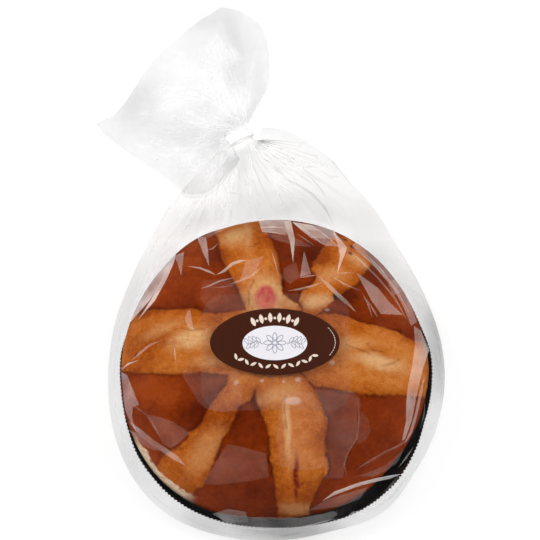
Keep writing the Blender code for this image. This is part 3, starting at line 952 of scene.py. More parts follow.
class Layout:
    """Points of the upper film with the lines between them that its facets keep."""

    def __init__(self, border):
        self.points = [vertex.co.copy() for vertex in border]
        count = len(border)
        self.lines = [(i, (i + 1) % count) for i in range(count)]
        self.painted_marks = []

    def add_row(self, row, first=None, closed=False):
        """Adds a row of points joined by lines. It may start from a point that is there already."""
        start = len(self.points)
        places = list(range(start, start + len(row)))
        self.points += row
        if first is not None:
            places.insert(0, first)
        self.lines += zip(places, places[1:])
        if closed:
            self.lines.append((places[-1], start))

    def add_fold(self, places, width, lifts, haze):
        """Adds a fold's two sides, which lie on the film, and its ridge, lifted by these heights."""
        left, ridge, right = fold_rows(places, width)
        for side in (left, right):
            self.add_row([on_film(place) for place in side])
        self.add_row([on_film(place, lift) for place, lift in zip(ridge, lifts)])
        self.painted_marks.append((left + right[-2:0:-1], haze))

    # A stretch of the film with a painted reflection of the lights, kept by lines round it.
    def add_reflection_pane(self, places, haze):
        self.add_row([on_film(place, CROSSING_LIFT) for place in places], closed=True)
        self.painted_marks.append((places, haze))

    def highlight_and_shade_at(self, x, y):
        """How milky the film is at a place, with its painted highlights and reflections, and how much
        painted shade darkens what lies behind it.
        """
        clear = 1.0
        light = 1.0
        for polygon, haze in self.painted_marks:
            if contains(polygon, x, y):
                clear *= 1 - max(haze, 0)
                light *= 1 + min(haze, 0)
        return 1 - clear, 1 - light


def neck_creases(draw):
    """Creases that run out from the neck over the shoulders and end before the loaf."""
    creases = []
    for index in range(NECK_CREASES):
        turn = lerp(*NECK_CREASE_TURNS, (index + draw.random()) / NECK_CREASES)
        reach = draw.uniform(*NECK_CREASE_START)
        step = draw.uniform(*NECK_CREASE_LENGTH) / CREASE_PARTS
        bend = draw.uniform(-NECK_CREASE_BEND, NECK_CREASE_BEND)
        places = []
        for part in range(CREASE_PARTS + 1):
            angle = turn + bend * part
            place = NECK.xy + Vector((math.cos(angle), math.sin(angle))) * (reach + step * part)
            if place.length < LOAF_EDGE or room_ahead(*place) < PLEAT_MARGIN:
                break
            places.append(place)
        if len(places) > 2:
            creases.append((places, draw.uniform(*CREASE_WIDTH), draw.uniform(*CREASE_HIGHLIGHT_AND_SHADE)))
    return creases


def rim_creases(draw):
    """Creases that follow the bag's widest line, beside the case."""
    creases = []
    for index in range(RIM_CREASES):
        start = math.tau * (index + draw.random()) / RIM_CREASES
        span = draw.uniform(*RIM_CREASE_SPAN)
        inset = draw.uniform(*RIM_CREASE_INSET)
        drift = draw.uniform(-RIM_CREASE_DRIFT, RIM_CREASE_DRIFT)
        places = []
        for part in range(CREASE_PARTS + 1):
            turn = start + span * part / CREASE_PARTS
            reach = bag_reach(turn) - max(inset + drift * part / CREASE_PARTS, RIM_CREASE_LEAST_INSET)
            places.append(Vector((math.cos(turn) * reach, math.sin(turn) * reach)))
        if max(place.y for place in places) < LOAF_EDGE:
            width = draw.uniform(*CREASE_WIDTH) * RIM_CREASE_WIDTH
            creases.append((places, width, draw.uniform(*CREASE_HIGHLIGHT_AND_SHADE)))
    return creases


# ---- Meshes ----


def add_face(mesh, corners):
    """Adds the face of these corners, without those that coincide."""
    kept = list(dict.fromkeys(corners))
    return mesh.faces.new(kept) if len(kept) > 2 else None


def bridge(mesh, first, second, closed):
    """Joins two rows of vertices of the same length."""
    count = len(first)
    for i in range(count if closed else count - 1):
        j = (i + 1) % count
        add_face(mesh, (first[i], first[j], second[j], second[i]))


def add_piece(data, material):
    """Adds a piece with this mesh and material that rides on the root."""
    data.materials.append(material)
    piece = bpy.data.objects.new(data.name, data)
    bpy.context.scene.collection.objects.link(piece)
    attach(piece, "root")
    return piece


def make_piece(mesh, name, material, smooth=False):
    """Makes a piece from this mesh, with its faces turned outward."""
    bmesh.ops.recalc_face_normals(mesh, faces=mesh.faces)
    for face in mesh.faces:
        face.smooth = smooth
    data = bpy.data.meshes.new(name)
    mesh.to_mesh(data)
    mesh.free()
    return add_piece(data, material)


def lay_out_film(border, throat):
    """The points and lines of the upper film, with its pleats, folds, panes, creases and facets, and the
    painted highlights, reflections and shade of the folds, panes and creases.
    """
    layout = Layout(border)
    for index, row in enumerate(pleat_points([vertex.co for vertex in throat])):
        layout.add_row(row, first=index + 1)
    sheet_size = (SHEET_HALF_LENGTH + SHEET_MARGIN, SHEET_HALF_WIDTH + SHEET_MARGIN, SHEET_CORNER)
    around = rounded_box(*sheet_size, FACET_SPACING * FACET_ROUND_SHEET)
    layout.add_row([on_film(point + SHEET_CENTRE) for point in around], closed=True)
    for pixels, width, lift, haze in FOLDS:
        last = len(pixels) - 1
        lifts = [lift * math.sin(math.pi * index / last) for index in range(last + 1)]
        layout.add_fold(seen_on_film(pixels), width, lifts, haze)
    for pixels, haze in REFLECTION_PANES:
        layout.add_reflection_pane(seen_on_film(pixels), haze)
    draw = random.Random(CREASE_SEED)
    for places, width, haze in neck_creases(draw) + rim_creases(draw):
        layout.add_fold(places, width, [CREASE_LIFT] * len(places), haze)
    layout.points += facet_points(layout.points)
    return layout


def add_top_sheet(mesh, throat, rim):
    """The upper film: facets between the throat and the widest line, with their haze, painted highlights and
    reflections, and painted shade.
    """
    border = [*throat, *rim[-2:0:-1]]
    layout = lay_out_film(border, throat)
    flat = [point.xy for point in layout.points]
    result = delaunay_2d_cdt(flat, layout.lines, [], 1, MERGE_DISTANCE)
    vertices = []
    for place, sources in zip(result[0], result[3]):
        source = sources[0] if sources else len(flat)
        if source < len(border):
            vertices.append(border[source])
        elif source < len(flat):
            vertices.append(mesh.verts.new(layout.points[source]))
        else:
            vertices.append(mesh.verts.new(on_film(place, CROSSING_LIFT)))
    haze_layer = mesh.faces.layers.float["haze"]
    shade_layer = mesh.faces.layers.float["shade"]
    draw = random.Random(FACET_SEED)
    for indices in result[2]:
        face = add_face(mesh, [vertices[i] for i in indices])
        if face:
            centre = face.calc_center_median()
            haze, shade = layout.highlight_and_shade_at(centre.x, centre.y)
            face[haze_layer] = haze + FACET_HAZE * draw.random() ** 2
            face[shade_layer] = shade
    shade_vertices(mesh.verts, mesh.verts.layers.float["soft_shade"], SHADES, film_height)


def add_lower_film(mesh, border):
    """The walls, the underside of the shoulders and the flat bottom."""
    middle = []
    foot = []
    for vertex in border:
        turn = math.atan2(vertex.co.y, vertex.co.x)
        outward = Vector((math.cos(turn), math.sin(turn), 0))
        ground = outward * FOOT_RADIUS
        middle.append(mesh.verts.new(vertex.co.lerp(ground, 0.5) + outward * WALL_BULGE))
        foot.append(mesh.verts.new(ground))
    bridge(mesh, border, middle, True)
    bridge(mesh, middle, foot, True)
    bmesh.ops.triangulate(mesh, faces=[mesh.faces.new(foot)])


def ridges(x, y, seed):
    """Sharp crests between smooth hollows, from 0 to 1."""
    return (1 - min(abs(noise.noise(Vector((x, y, seed)))) * 2.2, 1)) ** 3


def tail_form(share, along, side):
    """How far a place of the tail is lifted, and its haze, which holds painted highlights along its creases,
    by its shares across and along the fan.
    """
    middle = math.sin(math.pi * share)
    half = TAIL_HALF_THICKNESS * min(1, 2.5 * middle) * side
    lobe = noise.noise(Vector((share * TAIL_LOBES, along * 1.1, 3.0 + 0.35 * side)))
    pleat = math.cos(math.tau * TAIL_PLEATS * (share + 0.02 * lobe)) * (1 - 0.8 * along)
    lit_crest = ridges(share * TAIL_CREASES, along * 2.0 + 0.8 * lobe, 7.0 * side)
    calm = min(1, 4 * middle) * min(1, 3 * along)
    lift = half * along + TAIL_LOBE * lobe * along * min(1, 3 * middle)
    lift += TAIL_PLEAT * pleat * min(1, 5 * along) + TAIL_CREASE * lit_crest * calm * (1 - 0.5 * along)
    streak = ridges(share * TAIL_STREAKS, along * 1.6 + 0.5 * lobe, 20.0 + side)
    fade = 1 - 0.75 * float(ease(*TAIL_STREAK_FADE, along))
    flap = float(ease(*FLAP_START, share) * (1 - ease(*FLAP_END, share)))
    # Painted highlights along the tail's crests and streaks, fading towards its mouth, and a milky flap.
    haze = TAIL_STREAK_HIGHLIGHT * (0.7 * lit_crest + 0.6 * streak) * fade + FLAP_HAZE * flap
    return lift, haze


def neck_level(x, y):
    return NECK.z


def add_tail_layer(mesh, ring, side, sides=None):
    """One creased layer of the tail. The lower one shares its two sides with the upper one's."""
    haze_layer = mesh.verts.layers.float["haze"]
    last = len(ring) - 1
    rows = [ring]
    for step in range(1, TAIL_STEPS + 1):
        along = step / TAIL_STEPS
        row = []
        for index, start in enumerate(ring):
            if sides and index in (0, last):
                row.append(sides[step][index])
                continue
            share = index / last
            turn = lerp(TAIL_REACH[0][0], TAIL_REACH[-1][0], share)
            reach = straight_reach(TAIL_REACH, turn)
            rise = TAIL_RISE + FLAP_RISE * max(2 * share - 1, 0) ** 2
            angle = math.radians(turn)
            end = NECK + Vector((math.cos(angle) * reach, math.sin(angle) * reach, rise))
            lift, haze = tail_form(share, along, side)
            row.append(mesh.verts.new(start.co.lerp(end, along) + Vector((0, 0, lift))))
            row[-1][haze_layer] = haze
        bridge(mesh, rows[-1], row, False)
        rows.append(row)
    fanned = [vertex for row in rows[1:] for vertex in row]
    shade_vertices(fanned, mesh.verts.layers.float["shade"], TAIL_SHADES, neck_level)
    return rows


def add_rings(mesh, rings, steps):
    """Adds the bag's film through these ovals of the neck."""
    rows = [[mesh.verts.new(point) for point in neck_ring(*ring, steps)] for ring in rings]
    for first, second in zip(rows, rows[1:]):
        bridge(mesh, first, second, True)
    return rows


def add_rim(mesh, throat):
    """Adds the bag's widest line, from the right end of the throat to its left end."""
    return [throat[0], *(mesh.verts.new(point) for point in rim_points()), throat[RING_STEPS // 2]]


def make_film(over, walls, fan):
    """The bag's clear film, open at its mouth: over the loaf, beside and under it, and the tail."""
    half = RING_STEPS // 2
    mesh = bmesh.new()
    mesh.faces.layers.float.new("haze")
    mesh.faces.layers.float.new("shade")
    mesh.verts.layers.float.new("soft_shade")
    throat = add_rings(mesh, BODY_RINGS, RING_STEPS)[0]
    add_top_sheet(mesh, throat[: half + 1], add_rim(mesh, throat))
    body = make_piece(mesh, "film_body", over)

    mesh = bmesh.new()
    throat = [mesh.verts.new(point) for point in neck_ring(*THROAT_RING, RING_STEPS)]
    add_lower_film(mesh, add_rim(mesh, throat) + throat[half + 1 :])
    loose = [vertex for vertex in mesh.verts if not vertex.link_faces]
    bmesh.ops.delete(mesh, geom=loose, context="VERTS")
    lower = make_piece(mesh, "film_walls", walls, smooth=True)

    mesh = bmesh.new()
    mesh.verts.layers.float.new("haze")
    mesh.verts.layers.float.new("shade")
    ring = add_rings(mesh, TAIL_RINGS, TAIL_RING_STEPS)[-1]
    half = TAIL_RING_STEPS // 2
    upper = add_tail_layer(mesh, ring[: half + 1], 1)
    add_tail_layer(mesh, [ring[-i] for i in range(half + 1)], -1, upper)
    tail = make_piece(mesh, "film_tail", fan, smooth=True)
    for piece in (body, lower, tail):
        piece.visible_shadow = False
        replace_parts(piece, "bag")


# ---- The loaf and its case ----


def loaf_height(x, y):
    """Height of the loaf without its strips, and of its widest line beside it."""
    share = math.hypot(x, y) / reach_at(LOAF_REACH, math.atan2(y, x))
    return LOAF_WAIST + LOAF_RISE * math.sqrt(max(1 - share * share, 0))


def seen_on_loaf(pixels):
    return [seen_at(pixel, loaf_height) for pixel in pixels]


def away_from(line, x, y):
    """How far places lie from a line through these points."""
    nearest = np.full(x.shape, np.inf)
    for first, second in zip(line, line[1:]):
        along = second - first
        share = ((x - first.x) * along.x + (y - first.y) * along.y) / along.length_squared
        share = np.clip(share, 0, 1)
        away = np.hypot(x - first.x - share * along.x, y - first.y - share * along.y)
        nearest = np.minimum(nearest, away)
    return nearest


def strip_inside(x, y):
    """How far places lie inside the nearest strip. It is less than 0 beside the strips."""
    depth = np.full(x.shape, -np.inf)
    for strip in STRIPS:
        corners = seen_on_loaf(strip)
        border = corners + corners[:1]
        inside = np.zeros(x.shape, dtype=bool)
        for first, second in zip(border, border[1:]):
            slope = (second.x - first.x) / (second.y - first.y + 1e-12)
            cross = first.x + (y - first.y) * slope
            inside ^= ((first.y > y) != (second.y > y)) & (x < cross)
        away = away_from(border, x, y)
        depth = np.maximum(depth, np.where(inside, away, -away))
    return depth


def noise_at(points, scale, seed, octaves=3):
    """Smooth noise from about -1 to 1 at each of these places, with features of size scale."""
    shift = Vector((seed, 2.3 * seed, -seed))
    return np.array([noise.fractal(Vector(point) / scale + shift, 0.9, 2.1, octaves) for point in points])


def spread_patches(patches, x, y, blend):
    """The patches of a table over these places, joined by blend."""
    total = np.zeros(x.shape)
    for pixel, half_long, half_wide, degrees, strong in patches:
        centre = seen_at(pixel, loaf_height)
        total = blend(total, strong * blob(x, y, centre, half_long, half_wide, degrees))
    return total


def loaf_blob(x, y, patch):
    """A patch of the loaf by its pixel and half sizes, not turned."""
    return blob(x, y, seen_at(patch[0], loaf_height), *patch[1:])


def loaf_grid():
    """Places on the plain loaf, ring by ring from the crown down, with the way out from each."""
    turns = np.arange(LOAF_TURNS) * math.tau / LOAF_TURNS
    around = np.stack((np.cos(turns), np.sin(turns)), axis=1)
    edge = around * np.array([[reach_at(LOAF_REACH, turn)] for turn in turns])
    places = []
    outward = []
    depths = []
    for ring in range(1, LOAF_RINGS_ABOVE + LOAF_RINGS_BELOW + 1):
        tilt = math.pi / 2 * min(ring / LOAF_RINGS_ABOVE, 1)
        depth = max(ring - LOAF_RINGS_ABOVE, 0) / LOAF_RINGS_BELOW
        share = math.sin(tilt) - LOAF_DRAFT * depth**2
        height = lerp(LOAF_WAIST + LOAF_RISE * math.cos(tilt), LOAF_BASE, depth)
        out = math.sin(tilt) / LOAF_SPREAD
        up = math.cos(tilt) / LOAF_RISE
        size = math.hypot(out, up)
        places.append(np.column_stack((edge * share, np.full(LOAF_TURNS, height))))
        outward.append(np.column_stack((around * out / size, np.full(LOAF_TURNS, up / size))))
        depths.append(np.full(LOAF_TURNS, depth))
    return np.concatenate(places), np.concatenate(outward), np.concatenate(depths)


def crack_depth(x, y, fine):
    """How much of a crease's depth there is at these places, from 0 to 1."""
    crack = np.zeros(x.shape)
    for pixels, half_width in CRACKS:
        away = away_from(seen_on_loaf(pixels), x, y) + CRACK_RAGGED * fine
        crack = np.maximum(crack, np.exp(-((away / half_width) ** 2)))
    return crack


def pale_edge(turn, radius, rough):
    """Where the loaf's lower edge is pale."""
    apart = (np.degrees(turn) - PALE_EDGE_TURN + 180) % 360 - 180
    ragged = radius + PALE_EDGE_RAGGED * rough
    return ease(*PALE_EDGE, ragged) * (1 - ease(0.6, 1.0, np.abs(apart) / PALE_EDGE_SPAN))


def shape_loaf(places, outward, depths):
    """Raises the strips, cuts the grooves beside them, and gives the masks of the dough's colours and of its
    painted shade.
    """
    x, y, z = places.T
    turn = np.arctan2(y, x)
    radius = np.hypot(x, y) / np.array([reach_at(LOAF_REACH, angle) for angle in turn])
    coarse = noise_at(places, COARSE_SIZE, 1.0, 2)
    medium = noise_at(places, MEDIUM_SIZE, 5.0)
    fine = noise_at(places, FINE_SIZE, 9.0)
    across = turn * LOAF_SPREAD / GRAIN_WIDTH
    along = radius * LOAF_SPREAD / GRAIN_LENGTH
    grain = noise_at(np.stack((across, along, z * 0), axis=1), 1.0, 3.0)

    inside = strip_inside(x, y) + STRIP_RAGGED * (0.8 * medium + 0.45 * fine)
    torn = ease(*STRIP_EDGE, inside)
    within = np.maximum(inside, 0)
    outside = np.maximum(-inside, 0)
    strength = (1 - depths) * (1 - ease(*RIM_FADE, radius))
    bulge = STRIP_BULGE * (1 - np.exp(-within / STRIP_SHOULDER))
    pillow = WEDGE_PILLOW * (1 - np.exp(-outside / WEDGE_SHOULDER))
    groove_shade = np.exp(-(((inside + GROOVE_OUTSIDE) / GROOVE_WIDTH) ** 2))
    groove_shade *= np.clip(0.45 + 1.1 * medium + 0.5 * fine, 0, 1.1)
    crack = crack_depth(x, y, fine)
    swell = loaf_blob(x, y, PRALINE)
    streak = loaf_blob(x + STREAK_RAGGED * medium, y, STREAK)
    hole = loaf_blob(x, y, HOLE)
    specks = np.max([loaf_blob(x, y, (*speck, speck[1])) for speck in RED_SPECKS], axis=0)

    relief = (bulge + pillow - GROOVE_DEPTH * groove_shade) * strength + GRAIN * grain * torn
    relief += (LUMPS * coarse + BUMPS * medium) * strength + PIMPLES * fine
    relief += PRALINE_BULGE * swell - CRACK_DEPTH * crack - STREAK_DEPTH * streak - HOLE_DEPTH * hole

    shift = PATCH_RAGGED * medium
    cream = spread_patches(CREAM_PATCHES, x + shift, y + shift, np.maximum)
    tones = spread_patches(TONES, x + shift, y - shift, np.add)
    # Painted shade on the crust beside the raised strips.
    crust_shade = 1 - np.exp(-outside / CRUST_SHADE_REACH)
    dough_shade = 1 - np.exp(-within / DOUGH_SHADE_REACH)
    crust_tone_and_shade = 0.28 + 0.3 * crust_shade + 0.26 * radius**2 + tones + 0.16 * coarse
    golden = 0.22 + 0.46 * dough_shade + tones + 0.14 * coarse + 0.07 * grain
    lump = ease(0.2, 0.85, swell * (1 + 0.18 * medium + 0.08 * fine))
    pale = pale_edge(turn, radius, medium + 0.5 * fine)
    masks = {
        "torn": torn,
        "groove_shade": np.clip(np.maximum(groove_shade, CRACK_SHADE * crack), 0, 1),
        "tone": np.clip(lerp(crust_tone_and_shade, golden, torn) + 0.05 * medium, 0, 1),
        "cream": np.clip(cream * (1 + 0.3 * fine + 0.2 * grain), 0, 1) * torn,
        "pink": np.clip(lump * (0.85 + 0.3 * fine), 0, 1),
        "red": np.clip(np.maximum(streak * (1.1 + 0.6 * fine), specks), 0, 1),
        "hole": hole,
        "side": ease(0.05, 0.4, depths),
        "pale": pale * (0.85 + 0.3 * fine),
    }
    moved = places + outward * relief[:, None]
    for index in np.flatnonzero(depths == 0):
        ceiling = film_height(*moved[index, :2]) - LOAF_CLEARANCE
        moved[index, 2] = min(moved[index, 2], ceiling)
    return moved, masks


def make_loaf(material):
    """The brioche: a domed loaf with the torn star over it."""
    moved, masks = shape_loaf(*loaf_grid())
    crown = moved[:LOAF_TURNS].mean(axis=0)
    vertices = [crown, *moved, (0, 0, LOAF_BASE)]
    starts = range(1, len(moved), LOAF_TURNS)
    faces = []
    for i in range(LOAF_TURNS):
        j = (i + 1) % LOAF_TURNS
        faces.append((0, 1 + i, 1 + j))
        for start, below in zip(starts, starts[1:]):
            faces.append((start + j, start + i, below + i, below + j))
        faces.append((starts[-1] + j, starts[-1] + i, len(vertices) - 1))
    data = bpy.data.meshes.new("loaf")
    data.from_pydata(vertices, [], faces)
    for name, values in masks.items():
        attribute = data.attributes.new(name, "FLOAT", "POINT")
        attribute.data.foreach_set("value", [values[:LOAF_TURNS].mean(), *values, values[-1]])
    data.shade_smooth()
    piece = add_piece(data, material)
    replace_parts(piece, "bag")


def make_case(material):
    """The paper case: a fluted wall that leans out in places, with a flat bottom."""
    mesh = bmesh.new()
    lit_crest_layer = mesh.verts.layers.float.new("lit_crest")
    count = CASE_FLUTES * CASE_FLUTE_STEPS
    draw = random.Random(CASE_SEED)
    depths = [CASE_FLUTE_DEPTH * draw.uniform(*CASE_FLUTE_RANGE) for _ in range(CASE_FLUTES)]
    leans = [draw.uniform(-CASE_LEAN, CASE_LEAN) for _ in range(CASE_FLUTES)]
    rows = []
    for up in np.linspace(0, 1, CASE_ROWS + 1):
        row = []
        for step in range(count):
            flute, part = divmod(step, CASE_FLUTE_STEPS)
            phase = part / CASE_FLUTE_STEPS
            turn = math.tau * (step + leans[flute] * up * math.sin(math.pi * phase)) / count
            out = Vector((math.cos(turn), math.sin(turn), 0))
            depth = lerp(depths[flute], depths[(flute + 1) % CASE_FLUTES], phase)
            radius = depth * math.cos(math.tau * phase) * min(1, 0.25 + 1.5 * up)
            radius += CASE_SWAY * noise.noise(out * 3 + Vector((0, 0, up)))
            low, high = (straight_reach(CASE_REACH, math.degrees(turn), end, 360) for end in (1, 2))
            radius += lerp(low, high, up)
            top = lerp(CASE_HEIGHT, CASE_FAR_HEIGHT, float(ease(*CASE_FAR, out.y)))
            top += CASE_RAGGED * noise.noise(out * 5 + Vector((0, 0, 4)))
            top = min(top, film_height(radius * out.x, radius * out.y) - CASE_CLEARANCE)
            row.append(mesh.verts.new((radius * out.x, radius * out.y, lerp(CASE_FOOT, top, up))))
            # How near this vertex lies to the outer ridge of its flute, for the painted highlight on the
            # crests.
            row[-1][lit_crest_layer] = max(math.cos(math.tau * phase), 0) ** 2
        rows.append(row)
    for first, second in zip(rows, rows[1:]):
        bridge(mesh, first, second, True)
    mesh.faces.new(rows[0])
    piece = make_piece(mesh, "paper_case", material, smooth=True)
    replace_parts(piece, "bag")


# ---- The label ----


def add_plate(mesh, outline, lifts, facet=None):
    """Adds a plate of this outline, seen from above, that follows the film: one layer for each lift."""
    flat = [Vector(point) for point in outline]
    lines = [(i, (i + 1) % len(flat)) for i in range(len(flat))]
    if facet:
        lowest = Vector((min(p.x for p in flat), min(p.y for p in flat)))
        highest = Vector((max(p.x for p in flat), max(p.y for p in flat)))
        for row in range(int((highest.y - lowest.y) / facet) + 1):
            for column in range(int((highest.x - lowest.x) / facet) + 1):
                flat.append(lowest + Vector((column + 0.5 * (row % 2), row)) * facet)
    result = delaunay_2d_cdt(flat, lines, [], 1, MERGE_DISTANCE)
    used = sorted({i for face in result[2] for i in face})
    layers = []
    for lift in lifts:
        corners = {i: mesh.verts.new(on_film(result[0][i], lift)) for i in used}
        layers.append(corners)
        for face in result[2]:
            mesh.faces.new([corners[i] for i in face])
    edges = [edge for face in result[2] for edge in zip(face, face[1:] + face[:1])]
    inner = {(second, first) for first, second in edges}
    for lower, upper in zip(layers, layers[1:]):
        for first, second in edges:
            if (first, second) not in inner:
                mesh.faces.new((lower[first], lower[second], upper[second], upper[first]))


def add_bubble(mesh, centre, half_long, half_wide, lift, haze):
    """Adds an air bubble under the sheet: a low dome that is milky in its middle."""
    haze_layer = mesh.verts.layers.float["haze"]
    share, height = BUBBLE_SHOULDER
    outline = oval(centre, half_long, half_wide, BUBBLE_STEPS)
    top = mesh.verts.new(on_film(centre, lift + BUBBLE_LIFT))
    between = [Vector(centre).lerp(point, share) for point in outline]
    middle = [mesh.verts.new(on_film(place, lift + height * BUBBLE_LIFT)) for place in between]
    edge = [mesh.verts.new(on_film(point, lift)) for point in outline]
    for vertex in (top, *middle):
        vertex[haze_layer] = haze
    for first, second in zip(middle, middle[1:] + middle[:1]):
        mesh.faces.new((top, first, second))
    bridge(mesh, middle, edge, True)


def add_stroke(mesh, points, width, lifts, closed=False):
    """Adds a thin printed line along these places, seen from above."""
    low, high = lifts
    count = len(points)
    rows = ([], [], [], [])
    for index, point in enumerate(points):
        before = points[index - 1] if index or closed else point
        after = points[(index + 1) % count] if index + 1 < count or closed else point
        along = (after - before).normalized()
        across = Vector((-along.y, along.x)) * width / 2
        for row, (side, lift) in zip(rows, ((1, low), (1, high), (-1, high), (-1, low))):
            row.append(mesh.verts.new(on_film(point + across * side, lift)))
    for first, second in zip(rows, rows[1:] + rows[:1]):
        bridge(mesh, first, second, closed)
    if not closed:
        mesh.faces.new([row[0] for row in rows])
        mesh.faces.new([row[-1] for row in rows])


def oval(centre, half_length, half_width, steps, turn=0.0, tip=1.0):
    """Points round an oval. A tip below 1 draws its two ends out to points."""
    points = []
    for step in range(steps):
        angle = math.tau * step / steps
        along = half_length * math.cos(angle)
        across = half_width * math.copysign(abs(math.sin(angle)) ** (1 / tip), math.sin(angle))
        x = along * math.cos(turn) - across * math.sin(turn)
        y = along * math.sin(turn) + across * math.cos(turn)
        points.append(Vector((centre[0] + x, centre[1] + y)))
    return points


def on_arc(share_long, share_wide, degrees):
    """A place on an oval round the label's middle, and the direction along the oval there."""
    angle = math.radians(degrees)
    long = LABEL_HALF_LENGTH * share_long
    wide = LABEL_HALF_WIDTH * share_wide
    place = LABEL_CENTRE + Vector((long * math.cos(angle), wide * math.sin(angle)))
    return place, math.atan2(wide * math.cos(angle), -long * math.sin(angle))


def add_ornament(mesh, lifts):
    """Adds the seeds, dots, leaves and ticks."""
    for count, shares, (start, step), (half_long, half_wide), corners, leans, tip in ORNAMENT:
        for index in range(count):
            place, slope = on_arc(*shares, start + step * index)
            turn = slope + leans[index % len(leans)] if leans else 0.0
            add_plate(mesh, oval(place, half_long, half_wide, corners, turn, tip), lifts)


def add_drawing(mesh, centre, lifts):
    """Adds the flower, and the sprigs with their leaves on both sides in turn."""
    for petal in range(PETALS):
        angle = math.tau * petal / PETALS
        middle = centre + Vector((math.cos(angle) * PETAL_REACH[0], math.sin(angle) * PETAL_REACH[1]))
        outline = oval(middle, *PETAL_SIZE, FLOWER_STEPS, angle, PETAL_TIP)
        add_stroke(mesh, outline, INK_WIDTH, lifts, closed=True)
    add_stroke(mesh, oval(centre, *FLOWER_EYE, FLOWER_STEPS), INK_WIDTH, lifts, closed=True)
    for side in (-1, 1):
        stem = []
        for step in range(SPRIG_PARTS + 1):
            share = step / SPRIG_PARTS
            bend = SPRIG_BEND * math.sin(SPRIG_CURVE * share) - SPRIG_DROP
            stem.append(centre + Vector((side * lerp(*SPRIG_SPAN, share), bend)))
        add_stroke(mesh, stem, INK_WIDTH, lifts)
        for index in range(1, SPRIG_PARTS):
            lean = (LEAF_LEAN if index % 2 else -LEAF_LEAN) * side
            angle = lean if side > 0 else math.pi + lean
            tip = stem[index] + Vector((math.cos(angle), math.sin(angle))) * LEAF_REACH
            leaf = oval(tip, *LEAF_SIZE, LEAF_STEPS, angle, LEAF_TIP)
            add_stroke(mesh, leaf, INK_WIDTH * LEAF_INK, lifts, closed=True)


def make_label(sheet_material, brown, white, cream, ink):
    """The clear sheet on the film, the brown oval on it and the oval's print."""
    low = PLATE_CLEARANCE
    high = low + PLATE_THICKNESS
    mesh = bmesh.new()
    box = rounded_box(SHEET_HALF_LENGTH, SHEET_HALF_WIDTH, SHEET_CORNER, PLATE_FACET)
    add_plate(mesh, [point + SHEET_CENTRE for point in box], (high,), PLATE_FACET)
    sheet = make_piece(mesh, "clear_sheet", sheet_material, smooth=True)
    mesh = bmesh.new()
    mesh.verts.layers.float.new("haze")
    for pixel, half_long, half_wide, haze in BUBBLES:
        add_bubble(mesh, seen_at(pixel, film_height), half_long, half_wide, high, haze)
    bubbles = make_piece(mesh, "sheet_bubbles", sheet_material, smooth=True)
    for piece in (sheet, bubbles):
        piece.visible_shadow = False
        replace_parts(piece, "label_sheet")

    low = high + PLATE_CLEARANCE
    high = low + PLATE_THICKNESS
    mesh = bmesh.new()
    outline = oval(LABEL_CENTRE, LABEL_HALF_LENGTH, LABEL_HALF_WIDTH, LABEL_STEPS)
    add_plate(mesh, outline, (low, high), PLATE_FACET)
    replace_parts(make_piece(mesh, "label_oval", brown), "label")

    centre = LABEL_CENTRE + Vector((0, OVAL_SHIFT))
    printed = (high, high + PRINT_THICKNESS)
    mesh = bmesh.new()
    add_plate(mesh, oval(centre, OVAL_HALF_LENGTH, OVAL_HALF_WIDTH, OVAL_STEPS), printed, PLATE_FACET)
    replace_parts(make_piece(mesh, "label_white", white), "label")

    mesh = bmesh.new()
    add_ornament(mesh, printed)
    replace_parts(make_piece(mesh, "label_ornament", cream), "label")

    mesh = bmesh.new()
    add_drawing(mesh, centre, (printed[1], printed[1] + PRINT_THICKNESS))
    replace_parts(make_piece(mesh, "label_lines", ink), "label")


# ---- Materials ----


